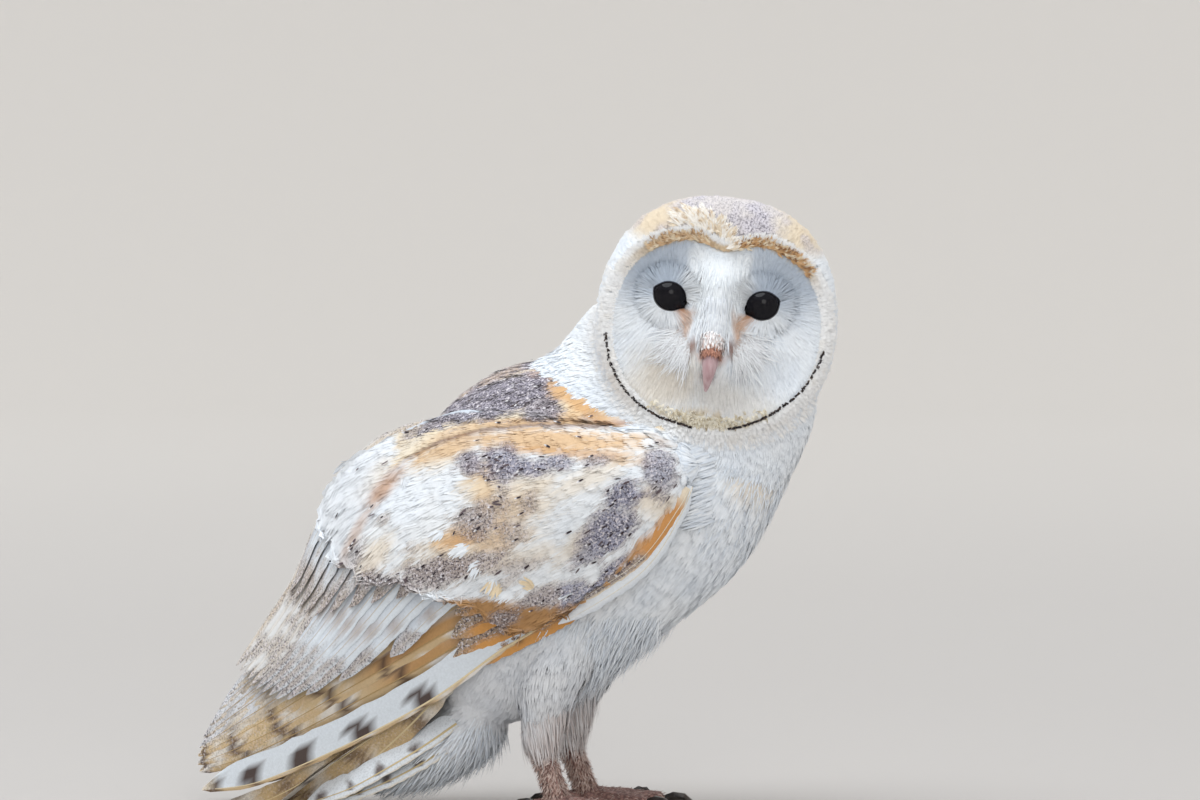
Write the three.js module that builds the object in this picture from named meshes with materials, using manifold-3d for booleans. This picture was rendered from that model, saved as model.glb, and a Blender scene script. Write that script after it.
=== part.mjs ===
// Barn owl, life size, standing still: body towards +X, face turned to its
// right (-Y) and a little forward. Millimetres, +Z up, soles on z = 0.
import * as THREE from 'three';
import { mergeVertices } from 'three/addons/utils/BufferGeometryUtils.js';
import Module from 'manifold-3d';

const wasm = await Module();
wasm.setup();

// ---------------------------------------------------------------- dimensions
const GAP = 0.3;                 // clearance between neighbouring solids
const DEG = Math.PI / 180;

// head, in its own frame: u across, v up, w out of the face
const HEAD_AT = new THREE.Vector3(59.4, 0, 213.8);   // centre of the facial disc's plane
const FACE_YAW = 72 * DEG;       // face turned this far to the bird's right
const HEAD_ROLL = 6 * DEG;       // tilted, its left side lower
const DISC_HALF_W = 46;
const DISC_UP = 41;
const DISC_DOWN = 41.5;
const HEAD_HALF_W = 53;
const HEAD_UP = 58.5;
const HEAD_DOWN = 50;
const HEAD_BACK = 43;            // from the widest ring to the nape
const EYE_R = 8.4;
const EYE_U = 20.0;
const EYE_V = 12.7;
const FEATURE_U = -1.5;          // eyes and bill sit this far to the bird's right of the disc's middle
const EYE_W = 15.2;              // depth of the eyeball's centre
const BILL_W = 4.4;              // half width at its root

// trunk and neck: back edge, breast edge (x, z), sideways shift and half width of each ring
const BODY_RINGS = [
  { back: [22, 234], front: [84, 214], side: 7, half: 18 },
  { back: [1, 224], front: [96, 200], side: 9, half: 25 },
  { back: [-9, 213], front: [103, 182], side: 9, half: 29 },
  { back: [-20, 202], front: [99, 162], side: 6, half: 32 },
  { back: [-44, 193], front: [88, 138], side: 1.5, half: 42 },
  { back: [-64, 177], front: [74, 113], side: 0, half: 48 },
  { back: [-76, 155], front: [57, 96], side: 0, half: 48 },
  { back: [-79, 129], front: [37, 81], side: 0, half: 44 },
  { back: [-79, 104], front: [16, 65], side: 0, half: 38 },
  { back: [-76, 82], front: [-4, 53], side: 0, half: 31 },
  { back: [-71, 64], front: [-25, 42], side: 0, half: 24 },
];
const BODY_TOP = [56, 240];
const BODY_END = [-56, 40];

// planes that part head, neck and trunk: a point on each and their normal (x, z)
const NECK_NORMAL = [0.415, 0.910];
const HEAD_CUT = [50, 168.5];
const NECK_LENGTH = 17;

// folded wing: top edge and lower edge (x, y, z) at equal steps from shoulder to tip
const WING_TOP = [
  [53, -28, 168], [28, -36, 174], [-5, -40, 178], [-46, -29, 179], [-84, -13, 168],
  [-111, -8, 150], [-123, -7.5, 126], [-134, -7.5, 101], [-151, -7.5, 76], [-170, -7.5, 54], [-186, -7.5, 34],
];
const WING_LOW = [
  [60, -34, 150], [56, -38, 136], [42, -40, 114], [20, -41, 98], [-6, -41, 84],
  [-34, -38, 71], [-62, -34, 56], [-92, -29, 41.5], [-122, -23, 27.5], [-152, -17, 15], [-177, -12, 9.5],
];
const WING_BULGE = [6, 10, 11, 15, 19, 18, 15, 11, 7, 4, 1.5];
const COVERT_SKIN = 3.4;         // how far the coverts stand over the quills
const FLIGHT_T = 2.2;            // thickness of the layer of flight feathers

// tail
const TAIL_T = 2.6;

// legs
const FOOT_X = -4;
const FOOT_Y = 20;
const TOE_R = 4.6;
const TARSUS_R = 4.7;

// ------------------------------------------------------------------- helpers
const V = (x, y, z) => new THREE.Vector3(x, y, z);
const lerp = THREE.MathUtils.lerp;
const clamp = THREE.MathUtils.clamp;
const bump = (x, s) => Math.exp(-(x / s) * (x / s));
const ease = (a, b, x) => THREE.MathUtils.smoothstep(x, a, b);

// smooth run through equally spaced numbers, t from 0 to 1
function along(list, t) {
  const n = list.length - 1;
  const k = Math.min(Math.floor(clamp(t, 0, 1) * n), n - 1);
  const f = clamp(t, 0, 1) * n - k;
  const p = (i) => list[clamp(i, 0, n)];
  const a = p(k - 1), b = p(k), c = p(k + 1), d = p(k + 2);
  return 0.5 * (2 * b + (c - a) * f + (2 * a - 5 * b + 4 * c - d) * f * f + (3 * b - a - 3 * c + d) * f * f * f);
}
const alongV = (list, t) => V(...[0, 1, 2].map((i) => along(list.map((p) => p[i]), t)));

// a closed ball of nU x nV cells whose points go to fn(u, v)
function ball(nU, nV, fn) {
  const g = new THREE.SphereGeometry(1, nU, nV);
  const p = g.attributes.position;
  for (let iy = 0, k = 0; iy <= nV; iy++) {
    for (let ix = 0; ix <= nU; ix++, k++) {
      const pole = iy === 0 || iy === nV;
      const q = fn(pole ? 0 : (ix % nU) / nU, iy / nV);
      p.setXYZ(k, q.x, q.y, q.z);
    }
  }
  return g;
}

// a closed box of nA x nB cells, one cell thick, whose points go to fn(a, b, side)
function slab(nA, nB, fn) {
  const g = new THREE.BoxGeometry(1, 1, 1, nA, nB, 1);
  const p = g.attributes.position;
  for (let i = 0; i < p.count; i++) {
    const q = fn(p.getX(i) + 0.5, p.getY(i) + 0.5, p.getZ(i) > 0 ? 1 : -1);
    p.setXYZ(i, q.x, q.y, q.z);
  }
  return g;
}

function toSolid(geometry) {
  const g = geometry.clone();
  for (const name of Object.keys(g.attributes)) if (name !== 'position') g.deleteAttribute(name);
  const m = mergeVertices(g, 1e-4);
  const pos = m.attributes.position;
  const idx = Array.from(m.index.array);
  let vol = 0;
  const a = V(), b = V(), c = V();
  for (let i = 0; i < idx.length; i += 3) {
    a.fromBufferAttribute(pos, idx[i]);
    b.fromBufferAttribute(pos, idx[i + 1]);
    c.fromBufferAttribute(pos, idx[i + 2]);
    vol += a.dot(b.cross(c));
  }
  if (vol < 0) for (let i = 0; i < idx.length; i += 3) [idx[i + 1], idx[i + 2]] = [idx[i + 2], idx[i + 1]];
  return new wasm.Manifold(new wasm.Mesh({
    numProp: 3, vertProperties: new Float32Array(pos.array), triVerts: new Uint32Array(idx),
  }));
}

// the largest single body of a solid
function mainBody(solid) {
  const parts = solid.decompose();
  return parts.reduce((best, s) => (s.volume() > best.volume() ? s : best), parts[0]);
}

function toGeometry(solid) {
  const m = solid.getMesh();
  const g = new THREE.BufferGeometry();
  g.setAttribute('position', new THREE.BufferAttribute(new Float32Array(m.vertProperties), 3));
  g.setIndex(Array.from(m.triVerts));
  g.computeVertexNormals();
  return g;
}

const mirror = (solid) => {
  const m = solid.getMesh();
  const pts = new Float32Array(m.vertProperties);
  for (let i = 1; i < pts.length; i += 3) pts[i] = -pts[i];
  const tri = new Uint32Array(m.triVerts);
  for (let i = 0; i < tri.length; i += 3) [tri[i + 1], tri[i + 2]] = [tri[i + 2], tri[i + 1]];
  return new wasm.Manifold(new wasm.Mesh({ numProp: 3, vertProperties: pts, triVerts: tri }));
};

// half space on the far side of a plane through point p with normal n
function halfSpace(p, n) {
  const size = 900;
  const g = new THREE.BoxGeometry(size, size, size);
  g.translate(0, 0, size / 2);
  g.applyQuaternion(new THREE.Quaternion().setFromUnitVectors(V(0, 0, 1), n.clone().normalize()));
  g.translate(p.x, p.y, p.z);
  return toSolid(g);
}

// a tapering limb along a curve, with its radius given at equal steps
function limb(curve, radii, nU, nV, grow = 0, flatten = 1, up = V(0, 1, 0)) {
  return ball(nU, nV, (u, v) => {
    const t = (1 - Math.cos(v * Math.PI)) / 2;
    const c = curve.getPoint(t);
    const d = curve.getTangent(t);
    const s = V().crossVectors(up, d).normalize();
    const n = V().crossVectors(d, s).normalize();
    const round = Math.sqrt(Math.max(0, 1 - Math.pow(Math.abs(2 * v - 1), 7)));
    const r = (along(radii, t) + grow) * (v === 0 || v === 1 ? 0 : round);
    const end = v === 0 ? -grow : v === 1 ? grow : 0;
    return c.clone()
      .addScaledVector(n, r * Math.cos(u * 2 * Math.PI))
      .addScaledVector(s, r * flatten * Math.sin(u * 2 * Math.PI))
      .addScaledVector(d, end);
  });
}

// --------------------------------------------------------------- head's shape
const faceDir = V(Math.cos(FACE_YAW), -Math.sin(FACE_YAW), 0);
const faceSide = V(Math.sin(FACE_YAW), Math.cos(FACE_YAW), 0);
const upDir = V(0, 0, 1);
function headPoint(u, v, w) {
  const ur = u * Math.cos(HEAD_ROLL) + v * Math.sin(HEAD_ROLL);
  const vr = -u * Math.sin(HEAD_ROLL) + v * Math.cos(HEAD_ROLL);
  return HEAD_AT.clone().addScaledVector(faceSide, ur).addScaledVector(upDir, vr).addScaledVector(faceDir, w);
}

// edge of the heart-shaped facial disc, angle a from straight up
function discEdge(a) {
  const c = Math.cos(a), s = Math.sin(a);
  const h = c > 0 ? DISC_UP : DISC_DOWN;
  const n = c > 0 ? 2.5 : 2.15;
  const r = Math.pow(Math.pow(Math.abs(s) / DISC_HALF_W, n) + Math.pow(Math.abs(c) / h, n), -1 / n);
  const x = Math.atan2(Math.sin(a), Math.cos(a));
  return r * (1 - 0.13 * bump(x, 0.24));
}
function headEdge(a) {
  const c = Math.cos(a), s = Math.sin(a);
  const h = c > 0 ? HEAD_UP : HEAD_DOWN;
  const n = c > 0 ? 2.35 : 2.1;
  return Math.pow(Math.pow(Math.abs(s) / HEAD_HALF_W, n) + Math.pow(Math.abs(c) / h, n), -1 / n);
}
// height of the disc's rim, swept back at the sides and brow
const rimHeight = (a) => 20.5 + 3.5 * Math.cos(2 * a) - 2.5 * Math.cos(a);
function faceHeight(u, v, a, t) {
  let w = lerp(25.5, rimHeight(a), t * t);
  const x = u - FEATURE_U * (1 - t);
  w -= 6.5 * (bump(Math.hypot(x - EYE_U, (v - EYE_V) * 0.95), 16) + bump(Math.hypot(x + EYE_U, (v - EYE_V) * 0.95), 16));
  w += 7.5 * bump(x, 9.5) * ease(-34, -14, v) * (1 - ease(20, 42, v));
  w += 3.0 * bump(x, 9) * bump(v + 12, 12);
  w -= 2.2 * bump(t - 0.78, 0.16);
  w += 1.3 * ease(0.86, 0.97, t);
  return w;
}
const DISC_SHARE = 0.44;
const headSurface = (grow) => (u, v) => {
  const a = u * 2 * Math.PI;
  const disc = discEdge(a) + grow, out = headEdge(a) + grow;
  if (v <= DISC_SHARE) {
    const t = v / DISC_SHARE;
    const r = disc * t;
    const x = r * Math.sin(a), y = r * Math.cos(a);
    return headPoint(x, y, faceHeight(x, y, a, t) + grow);
  }
  const s = (v - DISC_SHARE) / (1 - DISC_SHARE);
  const k = 0.34;
  const rim = rimHeight(a) + 1.3;
  if (s < k) {
    const f = s / k * Math.PI / 2;
    const r = disc + (out - disc) * Math.sin(f);
    return headPoint(r * Math.sin(a), r * Math.cos(a), (rim + grow) * Math.cos(f));
  }
  const f = (s - k) / (1 - k) * Math.PI / 2;
  const r = out * Math.cos(f);
  return headPoint(r * Math.sin(a), r * Math.cos(a) - 2 * Math.sin(f), -(HEAD_BACK + grow) * Math.sin(f));
};

// ---------------------------------------------------------------- body rings
function bodySurface(grow) {
  const n = BODY_RINGS.length - 1;
  const col = (f) => BODY_RINGS.map(f);
  const bx = col((r) => r.back[0]), bz = col((r) => r.back[1]);
  const fx = col((r) => r.front[0]), fz = col((r) => r.front[1]);
  const hw = col((r) => r.half), sy = col((r) => r.side);
  const end = 0.06;
  return (u, v) => {
    const a = u * 2 * Math.PI;
    if (v === 0) return V(BODY_TOP[0], 0, BODY_TOP[1] + grow);
    if (v === 1) return V(BODY_END[0], 0, BODY_END[1] - grow);
    const t = clamp((v - end) / (1 - 2 * end), 0, 1);
    const y = along(sy, t);
    const B = V(along(bx, t), y, along(bz, t));
    const F = V(along(fx, t), y, along(fz, t));
    const mid = B.clone().add(F).multiplyScalar(0.5);
    const axis = F.clone().sub(B).normalize();
    const half = F.distanceTo(B) / 2 + grow;
    const wide = along(hw, t) + grow;
    const pull = v < end ? Math.sqrt(v / end) * 0.985 : v > 1 - end ? Math.sqrt((1 - v) / end) * 0.985 : 1;
    const cap = v < end ? V(BODY_TOP[0], 0, BODY_TOP[1]) : V(BODY_END[0], 0, BODY_END[1]);
    const base = pull < 1 ? cap.lerp(mid, pull * pull) : mid;
    // the back is broader than the keel
    const c = Math.cos(a), s = Math.sin(a);
    const keel = 1 - 0.10 * Math.max(0, c);
    return base.clone()
      .addScaledVector(axis, half * pull * c)
      .addScaledVector(V(0, 1, 0), wide * pull * s * keel);
  };
}

// ---------------------------------------------------------------------- wing
function wingFrame(a, b) {
  const T = alongV(WING_TOP, a), L = alongV(WING_LOW, a);
  const p = T.clone().lerp(L, b);
  const bulge = along(WING_BULGE, a);
  p.y -= bulge * Math.sin(Math.PI * clamp(b, 0, 1));
  return p;
}
function wingPoint(a, b, d) {
  const e = 0.01;
  const p = wingFrame(a, b);
  const da = wingFrame(Math.min(a + e, 1), b).sub(wingFrame(Math.max(a - e, 0), b));
  const db = wingFrame(a, Math.min(b + e, 1)).sub(wingFrame(a, Math.max(b - e, 0)));
  const n = V().crossVectors(da, db).normalize();
  if (n.y > 0) n.negate();
  return p.addScaledVector(n, d);
}
// tips of count feathers, each a rounded scallop, deep in the share of the length
const scallop = (b, count, deep) => deep * (Math.sqrt(Math.abs(Math.sin(b * count * Math.PI))) - 1);

function coverts(grow = 0) {
  return slab(9, 10, (a, b, side) => {
    const rear = lerp(0.60, 0.44, ease(0.25, 1, b)) + scallop(b, 5, 0.018) + grow * 0.004;
    const aa = lerp(-grow * 0.004, rear, a);
    const edge = Math.sqrt(Math.max(0, Math.sin(Math.PI * b)));
    const lead = Math.sqrt(clamp(a / 0.12, 0, 1));
    const thin = 1 - ease(0.72, 1.0, a) * 0.85;
    const out = 1.7 + COVERT_SKIN * edge * lead * thin;
    const root = 15 * (1 - ease(0.50, 0.72, a)) * (0.35 + 0.65 * edge);
    return wingPoint(aa, lerp(0.005 - grow * 0.01, 0.985 + grow * 0.01, b), side > 0 ? out + grow : -root * (0.3 + 0.7 * lead) - grow);
  });
}
function secondaries(grow = 0) {
  return slab(6, 12, (a, b, side) => {
    const tip = lerp(0.84, 0.745, b) + scallop(b, 6, 0.020) + grow * 0.004;
    const root = lerp(0.45, 0.335, ease(0.25, 1, b)) - grow * 0.004;
    const t = lerp(FLIGHT_T, FLIGHT_T - 0.8, ease(0.6, 1, a));
    return wingPoint(lerp(root, tip, a), lerp(0.015 - grow * 0.01, 0.80 + grow * 0.01, b), side > 0 ? grow - 1.2 : -1.2 - t - grow);
  });
}
function primaries() {
  return slab(7, 10, (a, b, side) => {
    const tip = 1 + scallop(b, 5, 0.026);
    const t = lerp(FLIGHT_T, FLIGHT_T - 1.0, ease(0.7, 1, a));
    return wingPoint(lerp(0.37, tip, a), lerp(0.10, 0.99, b), side > 0 ? -4.6 : -4.6 - t);
  });
}
function alula() {
  return slab(8, 3, (a, b, side) => {
    const aa = lerp(0.10, 0.365, a);
    const wide = 0.13 * Math.sin(Math.PI * clamp(0.16 + 0.78 * a, 0, 1));
    const bb = 0.995 + wide * (b - 0.15) * 1.0;
    const t = 1.5 * Math.sin(Math.PI * clamp(0.15 + 0.7 * b, 0, 1));
    return wingPoint(aa, bb, side > 0 ? t * 0.5 : -t * 0.9);
  });
}

// ---------------------------------------------------------------------- tail
const TAIL_ARCH = 15;             // a closed tail droops to each side like a roof
const tailTop = [[-64, 57], [-83, 46], [-102, 33], [-120, 18.5], [-136, 4.6], [-150, 1.6]];
function tailBlade(grow = 0) {
  return slab(8, 12, (a, b, side) => {
    const y = (b - 0.5) * 2;
    const wide = lerp(20, 31, Math.pow(a, 0.8)), half = wide + grow;
    const reach = a * (1 - 0.07 * y * y) + scallop(b, 6, 0.03) * a;
    const x = along(tailTop.map((p) => p[0]), reach);
    const z = along(tailTop.map((p) => p[1]), reach);
    const t = lerp(7, TAIL_T, ease(0, 0.5, a));
    const arch = TAIL_ARCH * (1 - a) * Math.pow(y * half / wide, 2);
    const foot = grow > 0 ? -5 : 0;
    return V(x - grow * (2 * a - 1), y * half, Math.max(foot, z - arch + (side > 0 ? grow : -t - grow)));
  });
}
function underTail(grow) {
  const c = new THREE.CatmullRomCurve3([V(-40, 0, 46), V(-53, 0, 37), V(-67, 0, 27), V(-81, 0, 18.5), V(-95, 0, 11)]);
  return ball(12, 7, (u, v) => {
    const t = (1 - Math.cos(v * Math.PI)) / 2;
    const p = c.getPoint(t);
    const r = Math.sqrt(Math.max(0, 1 - Math.pow(Math.abs(2 * v - 1), 4)));
    const wide = (along([20, 23, 23, 20, 13], t) + grow) * r, deep = (along([14, 16, 14, 10, 5], t) + grow) * r;
    return V(p.x - deep * 0.5 * Math.cos(u * 2 * Math.PI), wide * Math.sin(u * 2 * Math.PI), p.z + deep * Math.cos(u * 2 * Math.PI) * 0.9);
  });
}

// ---------------------------------------------------------------------- legs
const ANKLE = V(-15.5, -18, 37);
const PALM = V(FOOT_X, -FOOT_Y, 7.5);
function thigh(grow) {
  const c = new THREE.CatmullRomCurve3([V(0, -20, 88), V(-6, -21, 70), V(-12, -20, 53), V(-15.5, -18.2, 38)]);
  return limb(c, [17, 17, 13.2, 7.4], 12, 7, grow);
}
function tarsus(grow) {
  const c = new THREE.CatmullRomCurve3([ANKLE.clone().add(V(-1.5, -0.4, 5)), ANKLE, V(-10.5, -19, 23), PALM.clone().add(V(-0.5, 0, -1))]);
  return limb(c, [TARSUS_R + 1.2, TARSUS_R + 0.8, TARSUS_R, TARSUS_R + 0.6], 8, 6, grow);
}
// toes: direction from +X in degrees (positive inwards), length, arch
const TOES = [
  { yaw: 14, len: 31, r: 1.0 },      // inner
  { yaw: -16, len: 34, r: 1.0 },     // middle
  { yaw: -62, len: 27, r: 0.95 },    // outer, swung out
  { yaw: 158, len: 17, r: 0.95 },    // hind
];
const floor = halfSpace(V(0, 0, 0), V(0, 0, 1));
function toeCurve(t) {
  const d = V(Math.cos(t.yaw * DEG), Math.sin(t.yaw * DEG), 0);
  const p = (k, z) => PALM.clone().addScaledVector(d, k).setZ(z);
  return { d, curve: new THREE.CatmullRomCurve3([p(0, 7), p(t.len * 0.35, 5.6), p(t.len * 0.7, 4.3), p(t.len, 4.6)]) };
}
function foot(grow) {
  let s = toSolid(ball(8, 5, (u, v) => {
    const f = v * Math.PI, a = u * 2 * Math.PI;
    return PALM.clone().add(V(8.0 + grow, 0, 0).multiplyScalar(Math.sin(f) * Math.cos(a)))
      .add(V(0, 6.8 + grow, 0).multiplyScalar(Math.sin(f) * Math.sin(a)))
      .add(V(0, 0, 6.4 + grow).multiplyScalar(Math.cos(f))).add(V(0, 0, -1.6));
  }));
  for (const t of TOES) {
    const { curve } = toeCurve(t);
    const r = TOE_R * t.r;
    s = s.add(toSolid(limb(curve, [r * 1.05, r * 1.04, r * 1.12, r * 0.98], 7, 5, grow)));
  }
  return s;
}
function claw(t, grow) {
  const { d } = toeCurve(t);
  const p = (k, z) => PALM.clone().addScaledVector(d, t.len + k).setZ(z);
  const c = new THREE.CatmullRomCurve3([p(-1.5, 5.2), p(4.2, 7.2), p(9.2, 5.4), p(11.6, 1.2)]);
  return limb(c, [2.5, 2.1, 1.35, 0.55], 6, 6, grow);
}

// ------------------------------------------------------------------ the owl
const parts = {};
const head0 = toSolid(ball(28, 17, headSurface(0)));
const head1 = toSolid(ball(28, 17, headSurface(GAP)));
const body0 = toSolid(ball(24, 20, bodySurface(0)));
const body1 = toSolid(ball(24, 20, bodySurface(GAP)));
const whole = head0.add(body0);

const cutN = V(NECK_NORMAL[0], 0, NECK_NORMAL[1]).normalize();
const cutA = V(HEAD_CUT[0], 0, HEAD_CUT[1]);
const cutB = cutA.clone().addScaledVector(cutN, -NECK_LENGTH);
const above = (p, n) => halfSpace(p, n);
let head = whole.intersect(above(cutA.clone().addScaledVector(cutN, GAP / 2), cutN));
let neck = whole.intersect(above(cutA.clone().addScaledVector(cutN, -GAP / 2), cutN.clone().negate()))
  .intersect(above(cutB.clone().addScaledVector(cutN, GAP / 2), cutN));
let trunk = whole.intersect(above(cutB.clone().addScaledVector(cutN, -GAP / 2), cutN.clone().negate()));

// eyes in their sockets
const eyeSolid = (side, grow) => {
  const g = new THREE.SphereGeometry(EYE_R + grow, 12, 8);
  const c = headPoint(side * EYE_U + FEATURE_U, EYE_V, EYE_W);
  g.translate(c.x, c.y, c.z);
  return toSolid(g);
};
for (const [name, side] of [['eye_right', -1], ['eye_left', 1]]) {
  parts[name] = eyeSolid(side, 0);
  head = head.subtract(eyeSolid(side, GAP));
}

// bill: hooked upper half over the lower one
function bill(root, ctrl, mid, tip, r0, grow, radii) {
  const c = new THREE.CatmullRomCurve3([root, ctrl, mid, tip].map(([u, v, w]) => headPoint(u + FEATURE_U, v, w)));
  return toSolid(limb(c, radii.map((k) => k * r0), 10, 8, grow, 1.0, faceSide));
}
const upperBill = (grow) => bill([0, -2, 24], [0, -9.5, 34.8], [-0.3, -18, 38.4], [-0.8, -26, 35.2], BILL_W, grow, [1.0, 0.98, 0.66, 0.16]);
const lowerBill = (grow) => bill([0, -10.5, 22], [0, -16.5, 28], [-0.3, -20, 31.5], [-0.6, -23, 32.6], BILL_W, grow, [0.8, 0.78, 0.56, 0.28]);
parts.bill_upper = upperBill(0);
parts.bill_lower = lowerBill(0).subtract(upperBill(GAP));
head = head.subtract(upperBill(GAP)).subtract(lowerBill(GAP));
parts.head = head;
parts.neck = neck;

// wings lie on the trunk, and the neck keeps clear of them
const cov = toSolid(coverts()), covWide = toSolid(coverts(1.5 * GAP));
const sec = toSolid(secondaries()), secWide = toSolid(secondaries(2 * GAP));
const pri = toSolid(primaries()), alu = toSolid(alula());
const wing = {
  coverts: cov,
  secondaries: sec.subtract(covWide),
  primaries: pri.subtract(secWide).subtract(covWide),
  alula: alu.subtract(covWide),
};
for (const [name, s] of Object.entries(wing)) {
  parts['wing_right_' + name] = s.subtract(body1).subtract(head1);
  parts['wing_left_' + name] = mirror(s).subtract(body1).subtract(head1);
}

// tail and the soft feathers beneath it
const blade = toSolid(tailBlade());
parts.tail = blade.subtract(body1);
parts.undertail_coverts = toSolid(underTail(0)).subtract(body1).subtract(toSolid(tailBlade(2 * GAP)));
for (const side of ['right', 'left']) {
  const cut = side === 'right' ? toSolid(thigh(GAP)) : mirror(toSolid(thigh(GAP)));
  parts.undertail_coverts = parts.undertail_coverts.subtract(cut);
}

// legs
for (const [name, flip] of [['right', (s) => s], ['left', mirror]]) {
  parts['thigh_' + name] = flip(toSolid(thigh(0))).subtract(body1);
  parts['tarsus_' + name] = flip(toSolid(tarsus(0)).subtract(toSolid(thigh(GAP))).subtract(foot(GAP)));
  let f = foot(0);
  TOES.forEach((t, i) => {
    f = f.subtract(toSolid(claw(t, GAP)));
    parts['claw_' + name + '_' + (i + 1)] = flip(toSolid(claw(t, 0)).intersect(floor));
  });
  parts['foot_' + name] = flip(f.intersect(floor));
}
parts.trunk = trunk;

// -------------------------------------------------------------------- colours
const LOOK = {
  feather_white: { color: 0xe6ebee, roughness: 0.85 },
  feather_buff: { color: 0xd2a468, roughness: 0.85 },
  feather_grey: { color: 0x9b9088, roughness: 0.85 },
  eye: { color: 0x0b0d12, roughness: 0.08 },
  bill: { color: 0xcfa09c, roughness: 0.45 },
  leg: { color: 0x977167, roughness: 0.75 },
  claw: { color: 0x4a4546, roughness: 0.4 },
};
const lookOf = (n) => n.startsWith('eye') ? 'eye' : n.startsWith('bill') ? 'bill' : n.startsWith('claw') ? 'claw'
  : n.startsWith('tarsus') || n.startsWith('foot') ? 'leg'
    : /coverts$/.test(n) && n.startsWith('wing') ? 'feather_buff' : /secondaries|primaries|tail$/.test(n) ? 'feather_grey' : 'feather_white';

const owl = new THREE.Group();
for (const [name, solid] of Object.entries(parts)) {
  const mesh = new THREE.Mesh(toGeometry(mainBody(solid)), new THREE.MeshStandardMaterial({ ...LOOK[lookOf(name)], metalness: 0 }));
  mesh.name = name;
  owl.add(mesh);
}

// the origin stands under the middle of the whole box
const box = new THREE.Box3().setFromObject(owl);
const centre = box.getCenter(V());
owl.position.set(-centre.x, -centre.y, 0);

const scene = new THREE.Group();
scene.add(owl);
scene.updateMatrixWorld(true);

export default scene;
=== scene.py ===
# Barn owl, life size: skin, plumage, eyes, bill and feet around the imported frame.
import bpy, math
import numpy as np
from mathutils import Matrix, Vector
from mathutils.bvhtree import BVHTree


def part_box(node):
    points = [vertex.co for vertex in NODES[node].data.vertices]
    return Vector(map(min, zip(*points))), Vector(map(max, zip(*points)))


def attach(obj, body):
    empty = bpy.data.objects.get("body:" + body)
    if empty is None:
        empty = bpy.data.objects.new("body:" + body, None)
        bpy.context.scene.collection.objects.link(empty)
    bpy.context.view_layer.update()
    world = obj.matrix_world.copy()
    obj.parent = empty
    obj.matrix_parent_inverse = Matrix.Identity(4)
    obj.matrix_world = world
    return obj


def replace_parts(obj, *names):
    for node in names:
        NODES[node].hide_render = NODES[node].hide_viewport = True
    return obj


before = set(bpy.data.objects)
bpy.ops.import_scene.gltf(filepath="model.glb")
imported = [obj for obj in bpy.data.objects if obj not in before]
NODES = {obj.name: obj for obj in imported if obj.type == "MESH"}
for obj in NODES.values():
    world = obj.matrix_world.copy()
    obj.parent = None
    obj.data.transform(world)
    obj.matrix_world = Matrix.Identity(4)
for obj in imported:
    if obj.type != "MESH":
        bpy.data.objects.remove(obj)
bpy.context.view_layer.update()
SCENE = bpy.context.scene
RNG = np.random.default_rng(20417)

# ------------------------------------------------------------------ frames
# All shapes are worked out in millimetres in the model's own axes, and go to metres in the row frame through SHIFT.
DEG = math.pi / 180
HEAD_AT = np.array([59.4, 0.0, 213.8])
YAW, ROLL = 72 * DEG, 6 * DEG
FACE = np.array([math.cos(YAW), -math.sin(YAW), 0.0])
SIDE = np.array([math.sin(YAW), math.cos(YAW), 0.0])
UP = np.array([0.0, 0.0, 1.0])
DISC_HALF_W, DISC_UP, DISC_DOWN = 46.0, 41.0, 41.5
HEAD_HALF_W, HEAD_UP, HEAD_DOWN, HEAD_BACK = 53.0, 58.5, 50.0, 43.0
EYE_R, EYE_U, EYE_V, EYE_W = 8.4, 20.0, 12.7, 15.2
FEATURE_U = -1.5  # the eyes and bill sit this far to the side of the disc's middle


def head_point(u, v, w):
    u, v, w = np.broadcast_arrays(np.asarray(u, float), np.asarray(v, float), np.asarray(w, float))
    ur = u * math.cos(ROLL) + v * math.sin(ROLL)
    vr = -u * math.sin(ROLL) + v * math.cos(ROLL)
    return HEAD_AT + ur[..., None] * SIDE + vr[..., None] * UP + w[..., None] * FACE


def head_dir(u, v, w):
    return head_point(u, v, w) - HEAD_AT


def head_local(p):
    d = np.asarray(p) - HEAD_AT
    ur, vr, w = d @ SIDE, d @ UP, d @ FACE
    return ur * math.cos(ROLL) - vr * math.sin(ROLL), ur * math.sin(ROLL) + vr * math.cos(ROLL), w


_lo, _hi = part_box("eye_right")
SHIFT = np.array([round((_lo.x + _hi.x) * 500 - head_point(FEATURE_U - EYE_U, EYE_V, EYE_W)[0], 3), 0.0, 0.0])


def to_row(p):
    return (np.asarray(p) + SHIFT) * 0.001


def to_mm(p):
    return np.asarray(p) * 1000 - SHIFT


def sm(a, b, x):
    t = np.clip((np.asarray(x, float) - a) / (b - a), 0, 1)
    return t * t * (3 - 2 * t)


def bump(x, s):
    return np.exp(-(np.asarray(x, float) / s) ** 2)


def unit(v):
    return v / np.maximum(np.linalg.norm(v, axis=-1, keepdims=True), 1e-9)


def lin(r, g, b):
    c = np.array([r, g, b], float) / 255
    return np.where(c <= 0.04045, c / 12.92, ((c + 0.055) / 1.055) ** 2.4)


# ------------------------------------------------------------------ camera
AZ, EL, DIST, PX_MM = 18 * DEG, 3 * DEG, 3000.0, 2.3
CAM_DIR = np.array([math.sin(AZ) * math.cos(EL), -math.cos(AZ) * math.cos(EL), math.sin(EL)])
CAM_RIGHT = np.array([math.cos(AZ), math.sin(AZ), 0.0])
CAM_UP = np.cross(CAM_DIR, CAM_RIGHT)
CAM_AIM = CAM_RIGHT * 6.5 + np.array([0, 0, 182.0])
CAM_AT = CAM_AIM + CAM_DIR * DIST


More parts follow.
